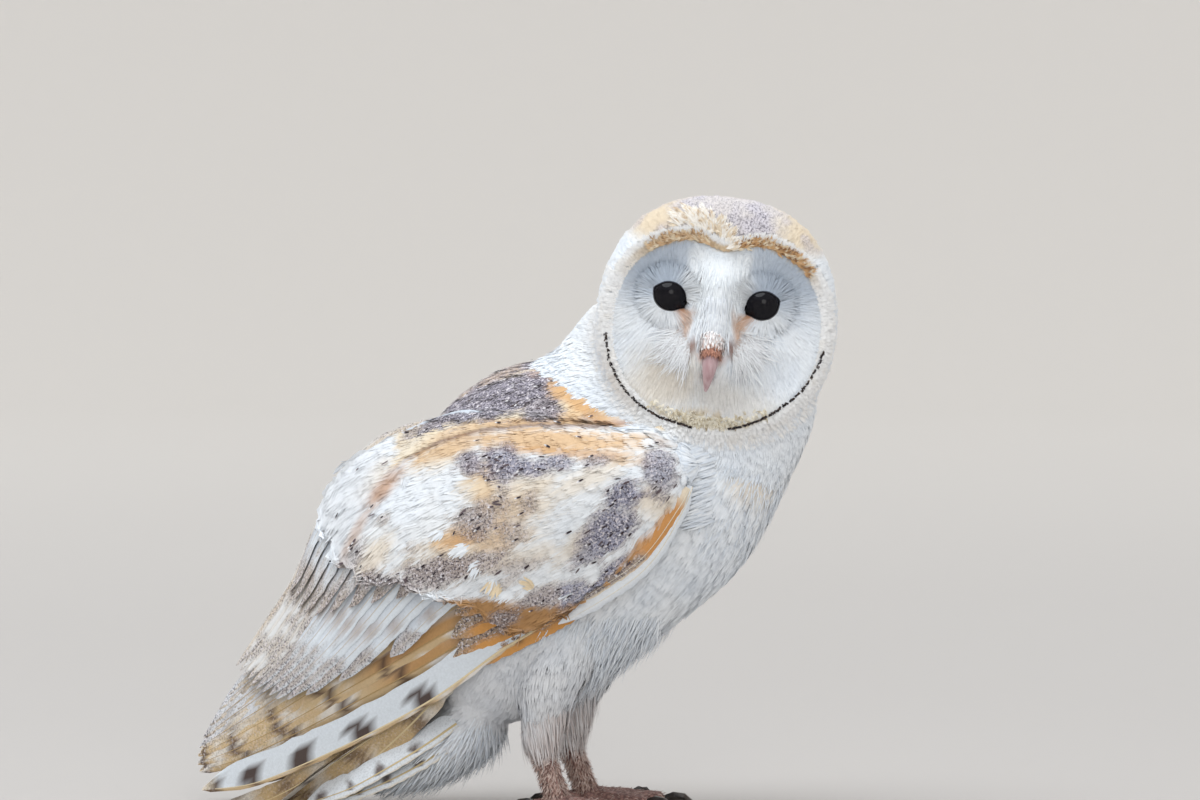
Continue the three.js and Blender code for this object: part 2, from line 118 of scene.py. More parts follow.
def side_map(p):
    """Where a spot of the bird's side falls on a flat side plan, left side mirrored: across and down."""
    p = np.array(p, float, copy=True)
    p[..., 1] = -np.abs(p[..., 1])
    r = p - CAM_AT
    d = -(r @ CAM_DIR)
    return 600 + (r @ CAM_RIGHT) / d * PX_MM * DIST, 400 - (r @ CAM_UP) / d * PX_MM * DIST


def add_camera():
    cam = bpy.data.cameras.new("camera")
    cam.sensor_width = 36.0
    cam.lens = PX_MM * DIST / 1200 * 36
    cam.clip_start, cam.clip_end = 0.05, 30
    ob = bpy.data.objects.new("camera", cam)
    SCENE.collection.objects.link(ob)
    ob.location = Vector(to_row(CAM_AT))
    ob.rotation_euler = Vector(CAM_DIR).to_track_quat("Z", "Y").to_euler()
    SCENE.camera = ob


add_camera()

# ------------------------------------------------------------------- meshes


def new_mesh(name, verts_mm, quads, colors=None, uv=None, smooth=True, extra=None):
    """A mesh object from vertices in mm and quads; colours per vertex, uv per vertex."""
    verts = to_row(verts_mm).astype(np.float32)
    verts[:, 2] = np.maximum(verts[:, 2], 0.0002)
    quads = np.asarray(quads, np.int32)
    me = bpy.data.meshes.new(name)
    me.vertices.add(len(verts))
    me.vertices.foreach_set("co", verts.ravel())
    k = quads.shape[1]
    me.loops.add(quads.size)
    me.polygons.add(len(quads))
    me.loops.foreach_set("vertex_index", quads.ravel())
    me.polygons.foreach_set("loop_start", np.arange(0, quads.size, k, dtype=np.int32))
    if smooth:
        me.polygons.foreach_set("use_smooth", np.ones(len(quads), bool))
    me.update(calc_edges=True)
    if colors is not None:
        at = me.color_attributes.new("Col", "FLOAT_COLOR", "POINT")
        c = np.ones((len(verts), 4), np.float32)
        c[:, :3] = colors
        at.data.foreach_set("color", c.ravel())
    if extra is not None:
        at = me.attributes.new("vane", "FLOAT_VECTOR", "POINT")
        at.data.foreach_set("vector", np.asarray(extra, np.float32).ravel())
    if uv is not None:
        layer = me.uv_layers.new(name="OFBake")
        layer.data.foreach_set("uv", np.asarray(uv, np.float32)[quads.ravel()].ravel())
    ob = bpy.data.objects.new(name, me)
    SCENE.collection.objects.link(ob)
    return ob


def grid_quads(count, rows, cols):
    """Quads of count separate grids of rows x cols vertices, stored one after another."""
    i, j = np.meshgrid(np.arange(rows - 1), np.arange(cols - 1), indexing="ij")
    a = (i * cols + j).ravel()
    q = np.stack([a, a + 1, a + cols + 1, a + cols], 1)
    return (q[None] + (np.arange(count) * rows * cols)[:, None, None]).reshape(-1, 4)


# ---------------------------------------------------------------- materials


def material(name, build):
    m = bpy.data.materials.new(name)
    m.use_nodes = True
    nt = m.node_tree
    nt.nodes.clear()
    out = nt.nodes.new("ShaderNodeOutputMaterial")
    bs = nt.nodes.new("ShaderNodeBsdfPrincipled")
    nt.links.new(bs.outputs[0], out.inputs[0])
    build(nt, bs)
    return m


def node(nt, kind, **values):
    n = nt.nodes.new(kind)
    for k, v in values.items():
        if k in n.inputs.keys():
            n.inputs[k].default_value = v
        else:
            setattr(n, k, v)
    return n


def mix_rgb(nt, fac, a, b, blend="MIX"):
    n = nt.nodes.new("ShaderNodeMix")
    n.data_type = "RGBA"
    n.blend_type = blend
    for sock, val in ((n.inputs[0], fac), (n.inputs[6], a), (n.inputs[7], b)):
        if hasattr(val, "links"):
            nt.links.new(val, sock)
        elif isinstance(val, (tuple, list)):
            sock.default_value = (*val[:3], 1)
        else:
            sock.default_value = val
    return n.outputs[2]


def plume_material(name, rough=0.8, noise_scale=900.0, noise_amt=0.10, sheen=0.25, barbs=False, spec=0.18, flecks=True):
    def build(nt, bs):
        col = node(nt, "ShaderNodeVertexColor", layer_name="Col")
        tc = node(nt, "ShaderNodeTexCoord")
        nz = node(nt, "ShaderNodeTexNoise", Scale=noise_scale, Detail=3.0, Roughness=0.6)
        nt.links.new(tc.outputs["Object"], nz.inputs["Vector"])
        ramp = node(nt, "ShaderNodeMapRange")
        ramp.inputs["From Min"].default_value, ramp.inputs["From Max"].default_value = 0.3, 0.7
        ramp.inputs["To Min"].default_value, ramp.inputs["To Max"].default_value = 1 - noise_amt, 1 + noise_amt * 0.4
        nt.links.new(nz.outputs["Fac"], ramp.inputs["Value"])
        cmb = node(nt, "ShaderNodeCombineColor")
        for i in range(3):
            nt.links.new(ramp.outputs["Result"], cmb.inputs[i])
        base = mix_rgb(nt, 1.0, col.outputs["Color"], cmb.outputs["Color"], "MULTIPLY")
        height = nz.outputs["Fac"]
        if flecks:
            fl = node(nt, "ShaderNodeAttribute", attribute_name="fleck", attribute_type="GEOMETRY")
            for k, (scale, lo, hi, tone, amt) in enumerate(((1150.0, 0.50, 0.40, lin(58, 52, 66), 0.85), (900.0, 0.55, 0.64, lin(226, 220, 224), 0.85))):
                nf = node(nt, "ShaderNodeTexNoise", Scale=scale, Detail=1.5, Roughness=0.5)
                nt.links.new(tc.outputs["Object"], nf.inputs["Vector"])
                mk = node(nt, "ShaderNodeMapRange")
                mk.inputs["From Min"].default_value, mk.inputs["From Max"].default_value = lo, hi
                mk.inputs["To Min"].default_value, mk.inputs["To Max"].default_value = 0.0, amt
                nt.links.new(nf.outputs["Fac"], mk.inputs["Value"])
                mu = node(nt, "ShaderNodeMath", operation="MULTIPLY")
                nt.links.new(mk.outputs["Result"], mu.inputs[0])
                nt.links.new(fl.outputs["Fac"], mu.inputs[1])
                base = mix_rgb(nt, mu.outputs[0], base, tuple(tone))
        if barbs:
            at = node(nt, "ShaderNodeAttribute", attribute_name="vane", attribute_type="GEOMETRY")
            sep = node(nt, "ShaderNodeSeparateXYZ")
            nt.links.new(at.outputs["Vector"], sep.inputs[0])
            ab = node(nt, "ShaderNodeMath", operation="ABSOLUTE")
            nt.links.new(sep.outputs[0], ab.inputs[0])
            mad = node(nt, "ShaderNodeMath", operation="MULTIPLY_ADD")
            nt.links.new(ab.outputs[0], mad.inputs[0])
            mad.inputs[1].default_value = -0.9
            nt.links.new(sep.outputs[1], mad.inputs[2])
            sc = node(nt, "ShaderNodeMath", operation="MULTIPLY")
            nt.links.new(mad.outputs[0], sc.inputs[0])
            sc.inputs[1].default_value = 9.0
            sn = node(nt, "ShaderNodeMath", operation="SINE")
            nt.links.new(sc.outputs[0], sn.inputs[0])
            add = node(nt, "ShaderNodeMath", operation="MULTIPLY_ADD")
            nt.links.new(sn.outputs[0], add.inputs[0])
            add.inputs[1].default_value = 0.35
            nt.links.new(nz.outputs["Fac"], add.inputs[2])
            height = add.outputs[0]
            # Painted shade: the barb lines are darkened in step with their bump, in the grooves between barbs.
            dark = node(nt, "ShaderNodeMapRange")
            dark.inputs["From Min"].default_value, dark.inputs["From Max"].default_value = -1, 1
            dark.inputs["To Min"].default_value, dark.inputs["To Max"].default_value = 0.93, 1.02
            nt.links.new(sn.outputs[0], dark.inputs["Value"])
            c2 = node(nt, "ShaderNodeCombineColor")
            for i in range(3):
                nt.links.new(dark.outputs["Result"], c2.inputs[i])
            base = mix_rgb(nt, 1.0, base, c2.outputs["Color"], "MULTIPLY")
        nt.links.new(base, bs.inputs["Base Color"])
        bp = node(nt, "ShaderNodeBump", Strength=0.25, Distance=0.0003)
        nt.links.new(height, bp.inputs["Height"])
        nt.links.new(bp.outputs[0], bs.inputs["Normal"])
        bs.inputs["Roughness"].default_value = rough
        bs.inputs["Specular IOR Level"].default_value = spec
        bs.inputs["Sheen Weight"].default_value = sheen
        bs.inputs["Sheen Roughness"].default_value = 0.5
    return material(name, build)


MAT_SKIN = plume_material("plumage_under", rough=0.9, noise_scale=500, noise_amt=0.12, sheen=0.1, flecks=False)
MAT_SOFT = plume_material("plumage_soft", rough=0.82, noise_scale=700, noise_amt=0.06)
MAT_VANE = plume_material("plumage_vane", rough=0.62, noise_scale=900, noise_amt=0.08, barbs=True, sheen=0.12, spec=0.3)


def finish_piece(ob, mat, slot, *nodes):
    ob.data.materials.clear()
    ob.data.materials.append(mat)
    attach(ob, "root")
    if nodes:
        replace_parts(ob, *nodes)
    return ob


# --------------------------------------------------------------------- skin
FLESH = ["head", "neck", "trunk", "thigh_right", "thigh_left", "undertail_coverts",
         "wing_right_coverts", "wing_left_coverts"]
VOXEL = 0.0017


def flesh_union():
    vs, fs, base = [], [], 0
    for n in FLESH:
        me = NODES[n].data
        v = np.zeros(len(me.vertices) * 3, np.float32)
        me.vertices.foreach_get("co", v)
        me.calc_loop_triangles()
        t = np.zeros(len(me.loop_triangles) * 3, np.int32)
        me.loop_triangles.foreach_get("vertices", t)
        vs.append(v.reshape(-1, 3))
        fs.append(t.reshape(-1, 3) + base)
        base += len(me.vertices)
    me = bpy.data.meshes.new("flesh")
    me.from_pydata(np.concatenate(vs).tolist(), [], np.concatenate(fs).tolist())
    ob = bpy.data.objects.new("flesh", me)
    SCENE.collection.objects.link(ob)
    w = ob.modifiers.new("weld", "WELD")
    w.merge_threshold = 1e-6
    r = ob.modifiers.new("remesh", "REMESH")
    r.mode = "VOXEL"
    r.voxel_size = VOXEL
    r.adaptivity = 0.0
    dg = bpy.context.evaluated_depsgraph_get()
    out = bpy.data.meshes.new_from_object(ob.evaluated_get(dg))
    bpy.data.objects.remove(ob)
    return out


def mesh_arrays(me):
    v = np.zeros(len(me.vertices) * 3, np.float32)
    me.vertices.foreach_get("co", v)
    k = len(me.loops) // len(me.polygons)
    f = np.zeros(len(me.loops), np.int32)
    me.loops.foreach_get("vertex_index", f)
    return v.reshape(-1, 3).astype(float), f.reshape(-1, k)


def edges_of(f):
    e = np.concatenate([np.stack([f[:, i], f[:, (i + 1) % f.shape[1]]], 1) for i in range(f.shape[1])])
    return np.unique(np.sort(e, 1), axis=0)


def laplace(v, e, times, lam=0.5, keep=None):
    n = len(v)
    cnt = np.bincount(e.ravel(), minlength=n).astype(float)[:, None]
    for _ in range(times):
        s = np.stack([np.bincount(e[:, 0], v[e[:, 1], k], n) + np.bincount(e[:, 1], v[e[:, 0], k], n) for k in range(3)], 1)
        d = (s / np.maximum(cnt, 1) - v) * lam
        if keep is not None:
            d *= keep[:, None]
        v = v + d
    return v


def vertex_normals(v, f):
    n = np.zeros_like(v)
    k = f.shape[1]
    fn = np.cross(v[f[:, 1]] - v[f[:, 0]], v[f[:, 2]] - v[f[:, 0]])
    if k == 4:
        fn = fn + np.cross(v[f[:, 2]] - v[f[:, 0]], v[f[:, 3]] - v[f[:, 0]])
    for i in range(k):
        for c in range(3):
            n[:, c] += np.bincount(f[:, i], fn[:, c], len(v))
    return unit(n)


def disc_edge(a):
    c, s = np.cos(a), np.sin(a)
    h = np.where(c > 0, DISC_UP, DISC_DOWN)
    n = np.where(c > 0, 2.5, 2.15)
    r = (np.abs(s / DISC_HALF_W) ** n + np.abs(c / h) ** n) ** (-1 / n)
    x = np.arctan2(s, c)
    return r * (1 - 0.13 * bump(x, 0.24))


def coat_depth(p):
    """How far the skin lies inside the outline of the plumage, in mm."""
    u, v, w = head_local(p)
    a = np.arctan2(u, v)
    t = np.hypot(u, v) / disc_edge(a)
    near = (w > 2) & (t < 1.2) & (np.abs(v) < 60)
    face = np.where(near, 1 - sm(0.95, 1.15, t), 0)
    rh = np.linalg.norm((p - head_point(0, 0, -8)), axis=-1)
    head = 1 - sm(56, 74, rh)
    d = 2.5 - 0.8 * head
    return d * (1 - face) + 0.8 * face


def ray_depth(bvh, p, n):
    out = np.full(len(p), 99.0)
    for i, (q, m) in enumerate(zip(p - n * 0.02, -n)):
        hit = bvh.ray_cast(q, m, 60)
        if hit[0] is not None:
            out[i] = hit[3]
    return out


def make_skin():
    me = flesh_union()
    v, f = mesh_arrays(me)
    v = to_mm(v)
    e = edges_of(f)
    v = laplace(v, e, 6, 0.6)
    n = vertex_normals(v, f)
    bvh = BVHTree.FromPolygons(v.tolist(), f.tolist())
    thick = ray_depth(bvh, v, n)
    outer = v.copy()
    d = np.minimum(coat_depth(v), thick * 0.36)
    d = laplace(d[:, None] * np.ones(3), e, 8, 0.6)[:, 0]
    v = v - n * d[:, None]
    v = laplace(v, e, 3, 0.5)
    return outer, v, f, e


import time
_t0 = time.time()


def tick(what):
    print(f"[{time.time() - _t0:6.1f}s] {what}", flush=True)


OUTER, SKIN_V, SKIN_F, SKIN_E = make_skin()
SKIN_N = vertex_normals(SKIN_V, SKIN_F)
SKIN_BVH = BVHTree.FromPolygons(SKIN_V.tolist(), SKIN_F.tolist())
tick(f"skin {len(SKIN_F)} faces")

skin_ob = new_mesh("skin", SKIN_V, SKIN_F, colors=np.tile(lin(225, 228, 232), (len(SKIN_V), 1)))
bpy.context.view_layer.objects.active = skin_ob
skin_ob.select_set(True)
bpy.ops.object.mode_set(mode="EDIT")
bpy.ops.mesh.select_all(action="SELECT")
bpy.ops.uv.smart_project(angle_limit=66 * DEG, island_margin=0.001)
bpy.ops.object.mode_set(mode="OBJECT")
skin_ob.data.uv_layers[0].name = "OFBake"
_uv = np.zeros(len(skin_ob.data.loops) * 2, np.float32)
skin_ob.data.uv_layers["OFBake"].data.foreach_get("uv", _uv)
SKIN_FACE_UV = _uv.reshape(len(SKIN_F), -1, 2).mean(1)
tick("unwrap")
finish_piece(skin_ob, MAT_SKIN, "white_plumage", *FLESH)

# -------------------------------------------------------------------- stage


def add_stage():
    """A wide pale floor that curves up all round, like a studio's sweep."""
    rs = np.concatenate([[0.0, 0.5, 1, 1.6, 2.2, 2.8, 3.3], 3.3 + 2.7 * np.sin(np.linspace(0.04, math.pi / 2, 24)), [6.05]])
    zs = np.concatenate([np.zeros(7), 2.7 - 2.7 * np.cos(np.linspace(0.04, math.pi / 2, 24)), [4.5]])
    cols = 96
    verts = [(r * math.cos(t), r * math.sin(t), z) for r, z in zip(rs[1:], zs[1:]) for t in np.linspace(0, 2 * math.pi, cols, endpoint=False)]
    verts.append((0, 0, 0))
    rows = len(rs) - 1
    faces = [(i * cols + j, i * cols + (j + 1) % cols, (i + 1) * cols + (j + 1) % cols, (i + 1) * cols + j) for i in range(rows - 1) for j in range(cols)]
    faces += [(len(verts) - 1, (j + 1) % cols, j) for j in range(cols)]
    me = bpy.data.meshes.new("floor")
    me.from_pydata(verts, [], faces)
    me.polygons.foreach_set("use_smooth", np.ones(len(faces), bool))
    ob = bpy.data.objects.new("floor", me)
    SCENE.collection.objects.link(ob)

    def build(nt, bs):
        tc = node(nt, "ShaderNodeTexCoord")
        nz = node(nt, "ShaderNodeTexNoise", Scale=0.9, Detail=2.0)
        nt.links.new(tc.outputs["Object"], nz.inputs["Vector"])
        # Painted shade: the floor is darker near the middle and paler far out, evening out the top lamp's brighter pool
        # round the bird.
        near = mix_rgb(nt, nz.outputs["Fac"], tuple(lin(186, 181, 177)), tuple(lin(191, 187, 183)))
        ln = node(nt, "ShaderNodeVectorMath", operation="LENGTH")
        nt.links.new(tc.outputs["Object"], ln.inputs[0])
        mr = node(nt, "ShaderNodeMapRange", interpolation_type="SMOOTHSTEP")
        mr.inputs["From Min"].default_value, mr.inputs["From Max"].default_value = 0.4, 3.6
        nt.links.new(ln.outputs["Value"], mr.inputs["Value"])
        nt.links.new(mix_rgb(nt, mr.outputs["Result"], near, tuple(lin(226, 221, 215))), bs.inputs["Base Color"])
        bs.inputs["Roughness"].default_value = 0.95
        bs.inputs["Specular IOR Level"].default_value = 0.1
    me.materials.append(material("floor", build))


def add_light(name, at, aim, size, power, color=(1, 1, 1)):
    li = bpy.data.lights.new(name, "AREA")
    li.shape, li.size, li.energy, li.color = "DISK", size, power, color
    ob = bpy.data.objects.new(name, li)
    SCENE.collection.objects.link(ob)
    ob.location = at
    ob.rotation_euler = (Vector(at) - Vector(aim)).to_track_quat("Z", "Y").to_euler()


add_stage()
add_light("top", (-0.5, -0.9, 4.0), (0.03, 0, 0.15), 3.4, 124, (0.91, 0.96, 1.0))
add_light("front", (1.8, -3.3, 2.0), (0.03, 0, 0.15), 1.9, 30, (1.0, 0.99, 0.97))
world = bpy.data.worlds.new("world")
SCENE.world = world
world.use_nodes = True
world.node_tree.nodes["Background"].inputs["Color"].default_value = (0.80, 0.83, 0.87, 1)
world.node_tree.nodes["Background"].inputs["Strength"].default_value = 0.92
SCENE.view_settings.view_transform = "Standard"
SCENE.view_settings.look = "None"

# ------------------------------------------------------ distance to the skin
CELL = 2.0
GRID_LO = SKIN_V.min(0) - 16
GRID_N = np.ceil((SKIN_V.max(0) + 16 - GRID_LO) / CELL).astype(int) + 1


def build_field():
    mark = np.zeros(GRID_N, bool)
    ix = np.round((SKIN_V - GRID_LO) / CELL).astype(int)
    mark[ix[:, 0], ix[:, 1], ix[:, 2]] = True
    for ax in range(3):
        m = mark.copy()
        for k in range(1, 6):
            m |= np.roll(mark, k, ax) | np.roll(mark, -k, ax)
        mark = m
    cells = np.argwhere(mark)
    pts = cells * CELL + GRID_LO
    dist = np.full(GRID_N, 9.0, np.float32)
    near = SKIN_BVH.find_nearest
    vals = np.empty(len(pts))
    for i, p in enumerate(pts.tolist()):
        loc, nor, idx, d = near(p)
        s = (p[0] - loc[0]) * nor[0] + (p[1] - loc[1]) * nor[1] + (p[2] - loc[2]) * nor[2]
        vals[i] = d if s >= 0 else -d
    dist[cells[:, 0], cells[:, 1], cells[:, 2]] = vals
    g = np.stack(np.gradient(dist, CELL), -1)
    return np.concatenate([dist[..., None], g], -1).astype(np.float32)


FIELD = build_field()
tick("distance field")


def field(p):
    """Signed distance to the skin and its outward direction, read smoothly from the grid."""
    q = (p - GRID_LO) / CELL
    q = np.clip(q, 0.001, np.array(GRID_N) - 1.002)
    i = q.astype(int)
    f = q - i
    out = 0
    for dx in (0, 1):
        wx = f[..., 0] if dx else 1 - f[..., 0]
        for dy in (0, 1):
            wy = wx * (f[..., 1] if dy else 1 - f[..., 1])
            for dz in (0, 1):
                wz = wy * (f[..., 2] if dz else 1 - f[..., 2])
                out = out + FIELD[i[..., 0] + dx, i[..., 1] + dy, i[..., 2] + dz] * wz[..., None]
    return out[..., 0], unit(out[..., 1:])


def settle(p, h, times=2):
    """Move points to height h over the skin; also the direction out of the skin there."""
    for _ in range(times):
        d, n = field(p)
        p = p + n * np.clip(h - d, -6, 6)[..., None]
    return p, n


# --------------------------------------------------------------------- noise


def hash01(i, j, k, seed):
    h = (i.astype(np.int64) * 73856093) ^ (j.astype(np.int64) * 19349663) ^ (k.astype(np.int64) * 83492791) ^ (seed * 2654435)
    h = (h ^ (h >> 13)) * 1274126177 & 0x7FFFFFFF
    h = (h ^ (h >> 11)) * 668265263 & 0x7FFFFFFF
    return (h & 0xFFFFF) / float(0xFFFFF)


def noise(p, size, seed=1):
    """Smooth noise from -1 to 1 with features about size mm across."""
    q = np.asarray(p) / size
    i = np.floor(q).astype(int)
    f = q - i
    f = f * f * (3 - 2 * f)
    out = 0
    for dx in (0, 1):
        for dy in (0, 1):
            for dz in (0, 1):
                w = (f[..., 0] if dx else 1 - f[..., 0]) * (f[..., 1] if dy else 1 - f[..., 1]) * (f[..., 2] if dz else 1 - f[..., 2])
                out = out + w * hash01(i[..., 0] + dx, i[..., 1] + dy, i[..., 2] + dz, seed)
    return out * 2 - 1


# ---------------------------------------------------------------------- wing
WING_TOP = np.array([[53, -28, 168], [28, -36, 174], [-5, -40, 178], [-46, -29, 179], [-84, -13, 168], [-111, -8, 150],
                     [-123, -7.5, 126], [-134, -7.5, 101], [-151, -7.5, 76], [-170, -7.5, 54], [-186, -7.5, 34]], float)
WING_LOW = np.array([[60, -34, 150], [56, -38, 136], [42, -40, 114], [20, -41, 98], [-6, -41, 84], [-34, -38, 71],
                     [-62, -34, 56], [-92, -29, 41.5], [-122, -23, 27.5], [-152, -17, 15], [-177, -12, 9.5]], float)
WING_BULGE = np.array([6, 10, 11, 15, 19, 18, 15, 11, 7, 4, 1.5], float)[:, None]


def spline(t, a):
    n = len(t) - 1
    x = np.clip(a, 0, 1) * n
    i = np.clip(np.floor(x).astype(int), 0, n - 1)
    f = (x - i)[..., None]
    p0, p1, p2, p3 = (t[np.clip(i + k, 0, n)] for k in (-1, 0, 1, 2))
    return 0.5 * ((2 * p1) + (-p0 + p2) * f + (2 * p0 - 5 * p1 + 4 * p2 - p3) * f ** 2 + (-p0 + 3 * p1 - 3 * p2 + p3) * f ** 3)


def wing(a, b, side=-1):
    """The folded wing's outer surface: a from shoulder to tip, b from top edge to lower edge."""
    a, b = np.broadcast_arrays(np.asarray(a, float), np.asarray(b, float))
    p = spline(WING_TOP, a) * (1 - b[..., None]) + spline(WING_LOW, a) * b[..., None]
    p[..., 1] -= spline(WING_BULGE, a)[..., 0] * np.sin(np.pi * np.clip(b, 0, 1))
    if side > 0:
        p[..., 1] *= -1
    return p


def wing_frame(a, b, side=-1):
    e = 0.004
    a, b = np.broadcast_arrays(np.asarray(a, float), np.asarray(b, float))
    a2 = np.clip(a, e, 1 - e)
    b2 = np.clip(b, e, 1 - e)
    ta = (wing(a2 + e, b, side) - wing(a2 - e, b, side)) / (2 * e)
    tb = (wing(a, b2 + e, side) - wing(a, b2 - e, side)) / (2 * e)
    n = unit(np.cross(ta, tb))
    n = np.where(((n[..., 1] * side) < 0)[..., None], -n, n)
    return wing(a, b, side), ta, tb, n


# ---------------------------------------------------------------------- flow
AXIS = np.array([[64, 0, 214], [58, 0, 196], [48, 0, 180], [34, 0, 163], [16, 0, 144], [-2, 0, 124], [-17, 0, 104],
                 [-31, 0, 84], [-44, 0, 62], [-56, 0, 44], [-78, 0, 27], [-106, 0, 9]], float)
AXIS_DIR = unit(np.gradient(AXIS, axis=0))


def flow_body(p, n):
    d2 = ((p[..., None, 0] - AXIS[:, 0]) ** 2 + (p[..., None, 2] - AXIS[:, 2]) ** 2)
    w = np.exp(-(d2 - d2.min(-1, keepdims=True)) / 500)
    d = unit((w[..., None] * AXIS_DIR).sum(-2))
    leg = sm(95, 55, p[..., 2]) * bump(p[..., 0] + 8, 22) * (p[..., 2] < 110)
    d = d * (1 - leg[..., None]) + np.array([-0.15, 0, -1]) * leg[..., None]
    rh = np.linalg.norm(p - head_point(0, 0, -6), axis=-1)
    head = (1 - sm(52, 72, rh)) * sm(165, 190, p[..., 2])
    hd = -FACE + np.array([0, 0, -0.35]) * sm(215, 160, p[..., 2])[..., None] * 2.2 + np.array([0, 0, -0.2])
    d = d * (1 - head[..., None]) + unit(hd) * head[..., None]
    return unit(d - n * (d * n).sum(-1, keepdims=True))


def ridge_mask(x, v):
    """The broad smooth feathering between the eyes that narrows to the bill."""
    half = np.interp(v, [-12, -7, 0, 6, 14, 24, 36], [3.0, 5.2, 7.2, 8.8, 10.5, 12.0, 13.0])
    return sm(2.6, -1.6, np.abs(x) - half) * sm(-13, -8.5, v) * sm(43, 34, v)


def flow_disc(p, n):
    """Lax filaments of the facial disc: away from each eye, and down the ridge between them."""
    u, v, w = head_local(p)
    x = u - FEATURE_U
    s = np.where(x < 0, -1.0, 1.0)
    du, dv = x - s * EYE_U, v - EYE_V
    r = np.hypot(du, dv) + 1e-6
    du, dv = du / r, dv / r
    mid = ridge_mask(x, v)
    du, dv = du * (1 - mid) + mid * x * 0.006, dv * (1 - mid) - mid
    low = sm(-8, -20, v) * bump(x, 26)
    du, dv = du * (1 - 0.6 * low) + 0.03 * x * low, dv * (1 - 0.6 * low) - 0.8 * low
    d = head_dir(du, dv, 0 * du)
    return unit(d - n * (d * n).sum(-1, keepdims=True))


# -------------------------------------------------------------------- roots
SKIN_TRI_A = np.cross(SKIN_V[SKIN_F[:, 1]] - SKIN_V[SKIN_F[:, 0]], SKIN_V[SKIN_F[:, 2]] - SKIN_V[SKIN_F[:, 0]])
SKIN_TRI_B = np.cross(SKIN_V[SKIN_F[:, 2]] - SKIN_V[SKIN_F[:, 0]], SKIN_V[SKIN_F[:, 3]] - SKIN_V[SKIN_F[:, 0]])
FACE_AREA = 0.5 * (np.linalg.norm(SKIN_TRI_A, axis=1) + np.linalg.norm(SKIN_TRI_B, axis=1))
FACE_MID = SKIN_V[SKIN_F].mean(1)


def node_labels():
    """Which solid each patch of skin stands over."""
    best = np.full(len(FACE_MID), 1e9)
    lab = np.zeros(len(FACE_MID), int)
    pts = FACE_MID + unit(SKIN_TRI_A) * 2.0
    for k, nme in enumerate(FLESH):
        me = NODES[nme].data
        v = np.zeros(len(me.vertices) * 3, np.float32)
        me.vertices.foreach_get("co", v)
        v = to_mm(v.reshape(-1, 3).astype(float))
        lo, hi = v.min(0) - 8, v.max(0) + 8
        inside = np.all((pts > lo) & (pts < hi), axis=1)
        bvh = BVHTree.FromPolygons(v.tolist(), [tuple(p.vertices) for p in me.polygons])
        for i in np.nonzero(inside)[0]:
            hit = bvh.find_nearest(pts[i].tolist(), min(best[i], 12))
            if hit[0] is not None and hit[3] < best[i]:
                best[i], lab[i] = hit[3], k
    return lab


LABEL = node_labels()
L_HEAD, L_NECK, L_TRUNK, L_THIGH_R, L_THIGH_L, L_UNDER, L_WING_R, L_WING_L = range(8)
tick("labels")


def roots(where, spacing, seed):
    """Evenly scattered spots on the chosen faces of the skin: points, face numbers."""
    rng = np.random.default_rng(seed)
    idx = np.nonzero(where)[0]
    area = FACE_AREA[idx]
    want = int(area.sum() / spacing ** 2 * 5) + 8
    pick = idx[rng.choice(len(idx), want, p=area / area.sum())]
    q = SKIN_V[SKIN_F[pick]]
    a, b = rng.random((2, want, 1))
    p = (q[:, 0] * (1 - a) + q[:, 1] * a) * (1 - b) + (q[:, 3] * (1 - a) + q[:, 2] * a) * b
    cell = np.floor(p / spacing).astype(np.int64)
    key = (cell[:, 0] + 500) * 4000000 + (cell[:, 1] + 500) * 2000 + cell[:, 2] + 500
    _, first = np.unique(key, return_index=True)
    first = np.sort(first)
    return p[first], pick[first]


# ------------------------------------------------------------------- plumes


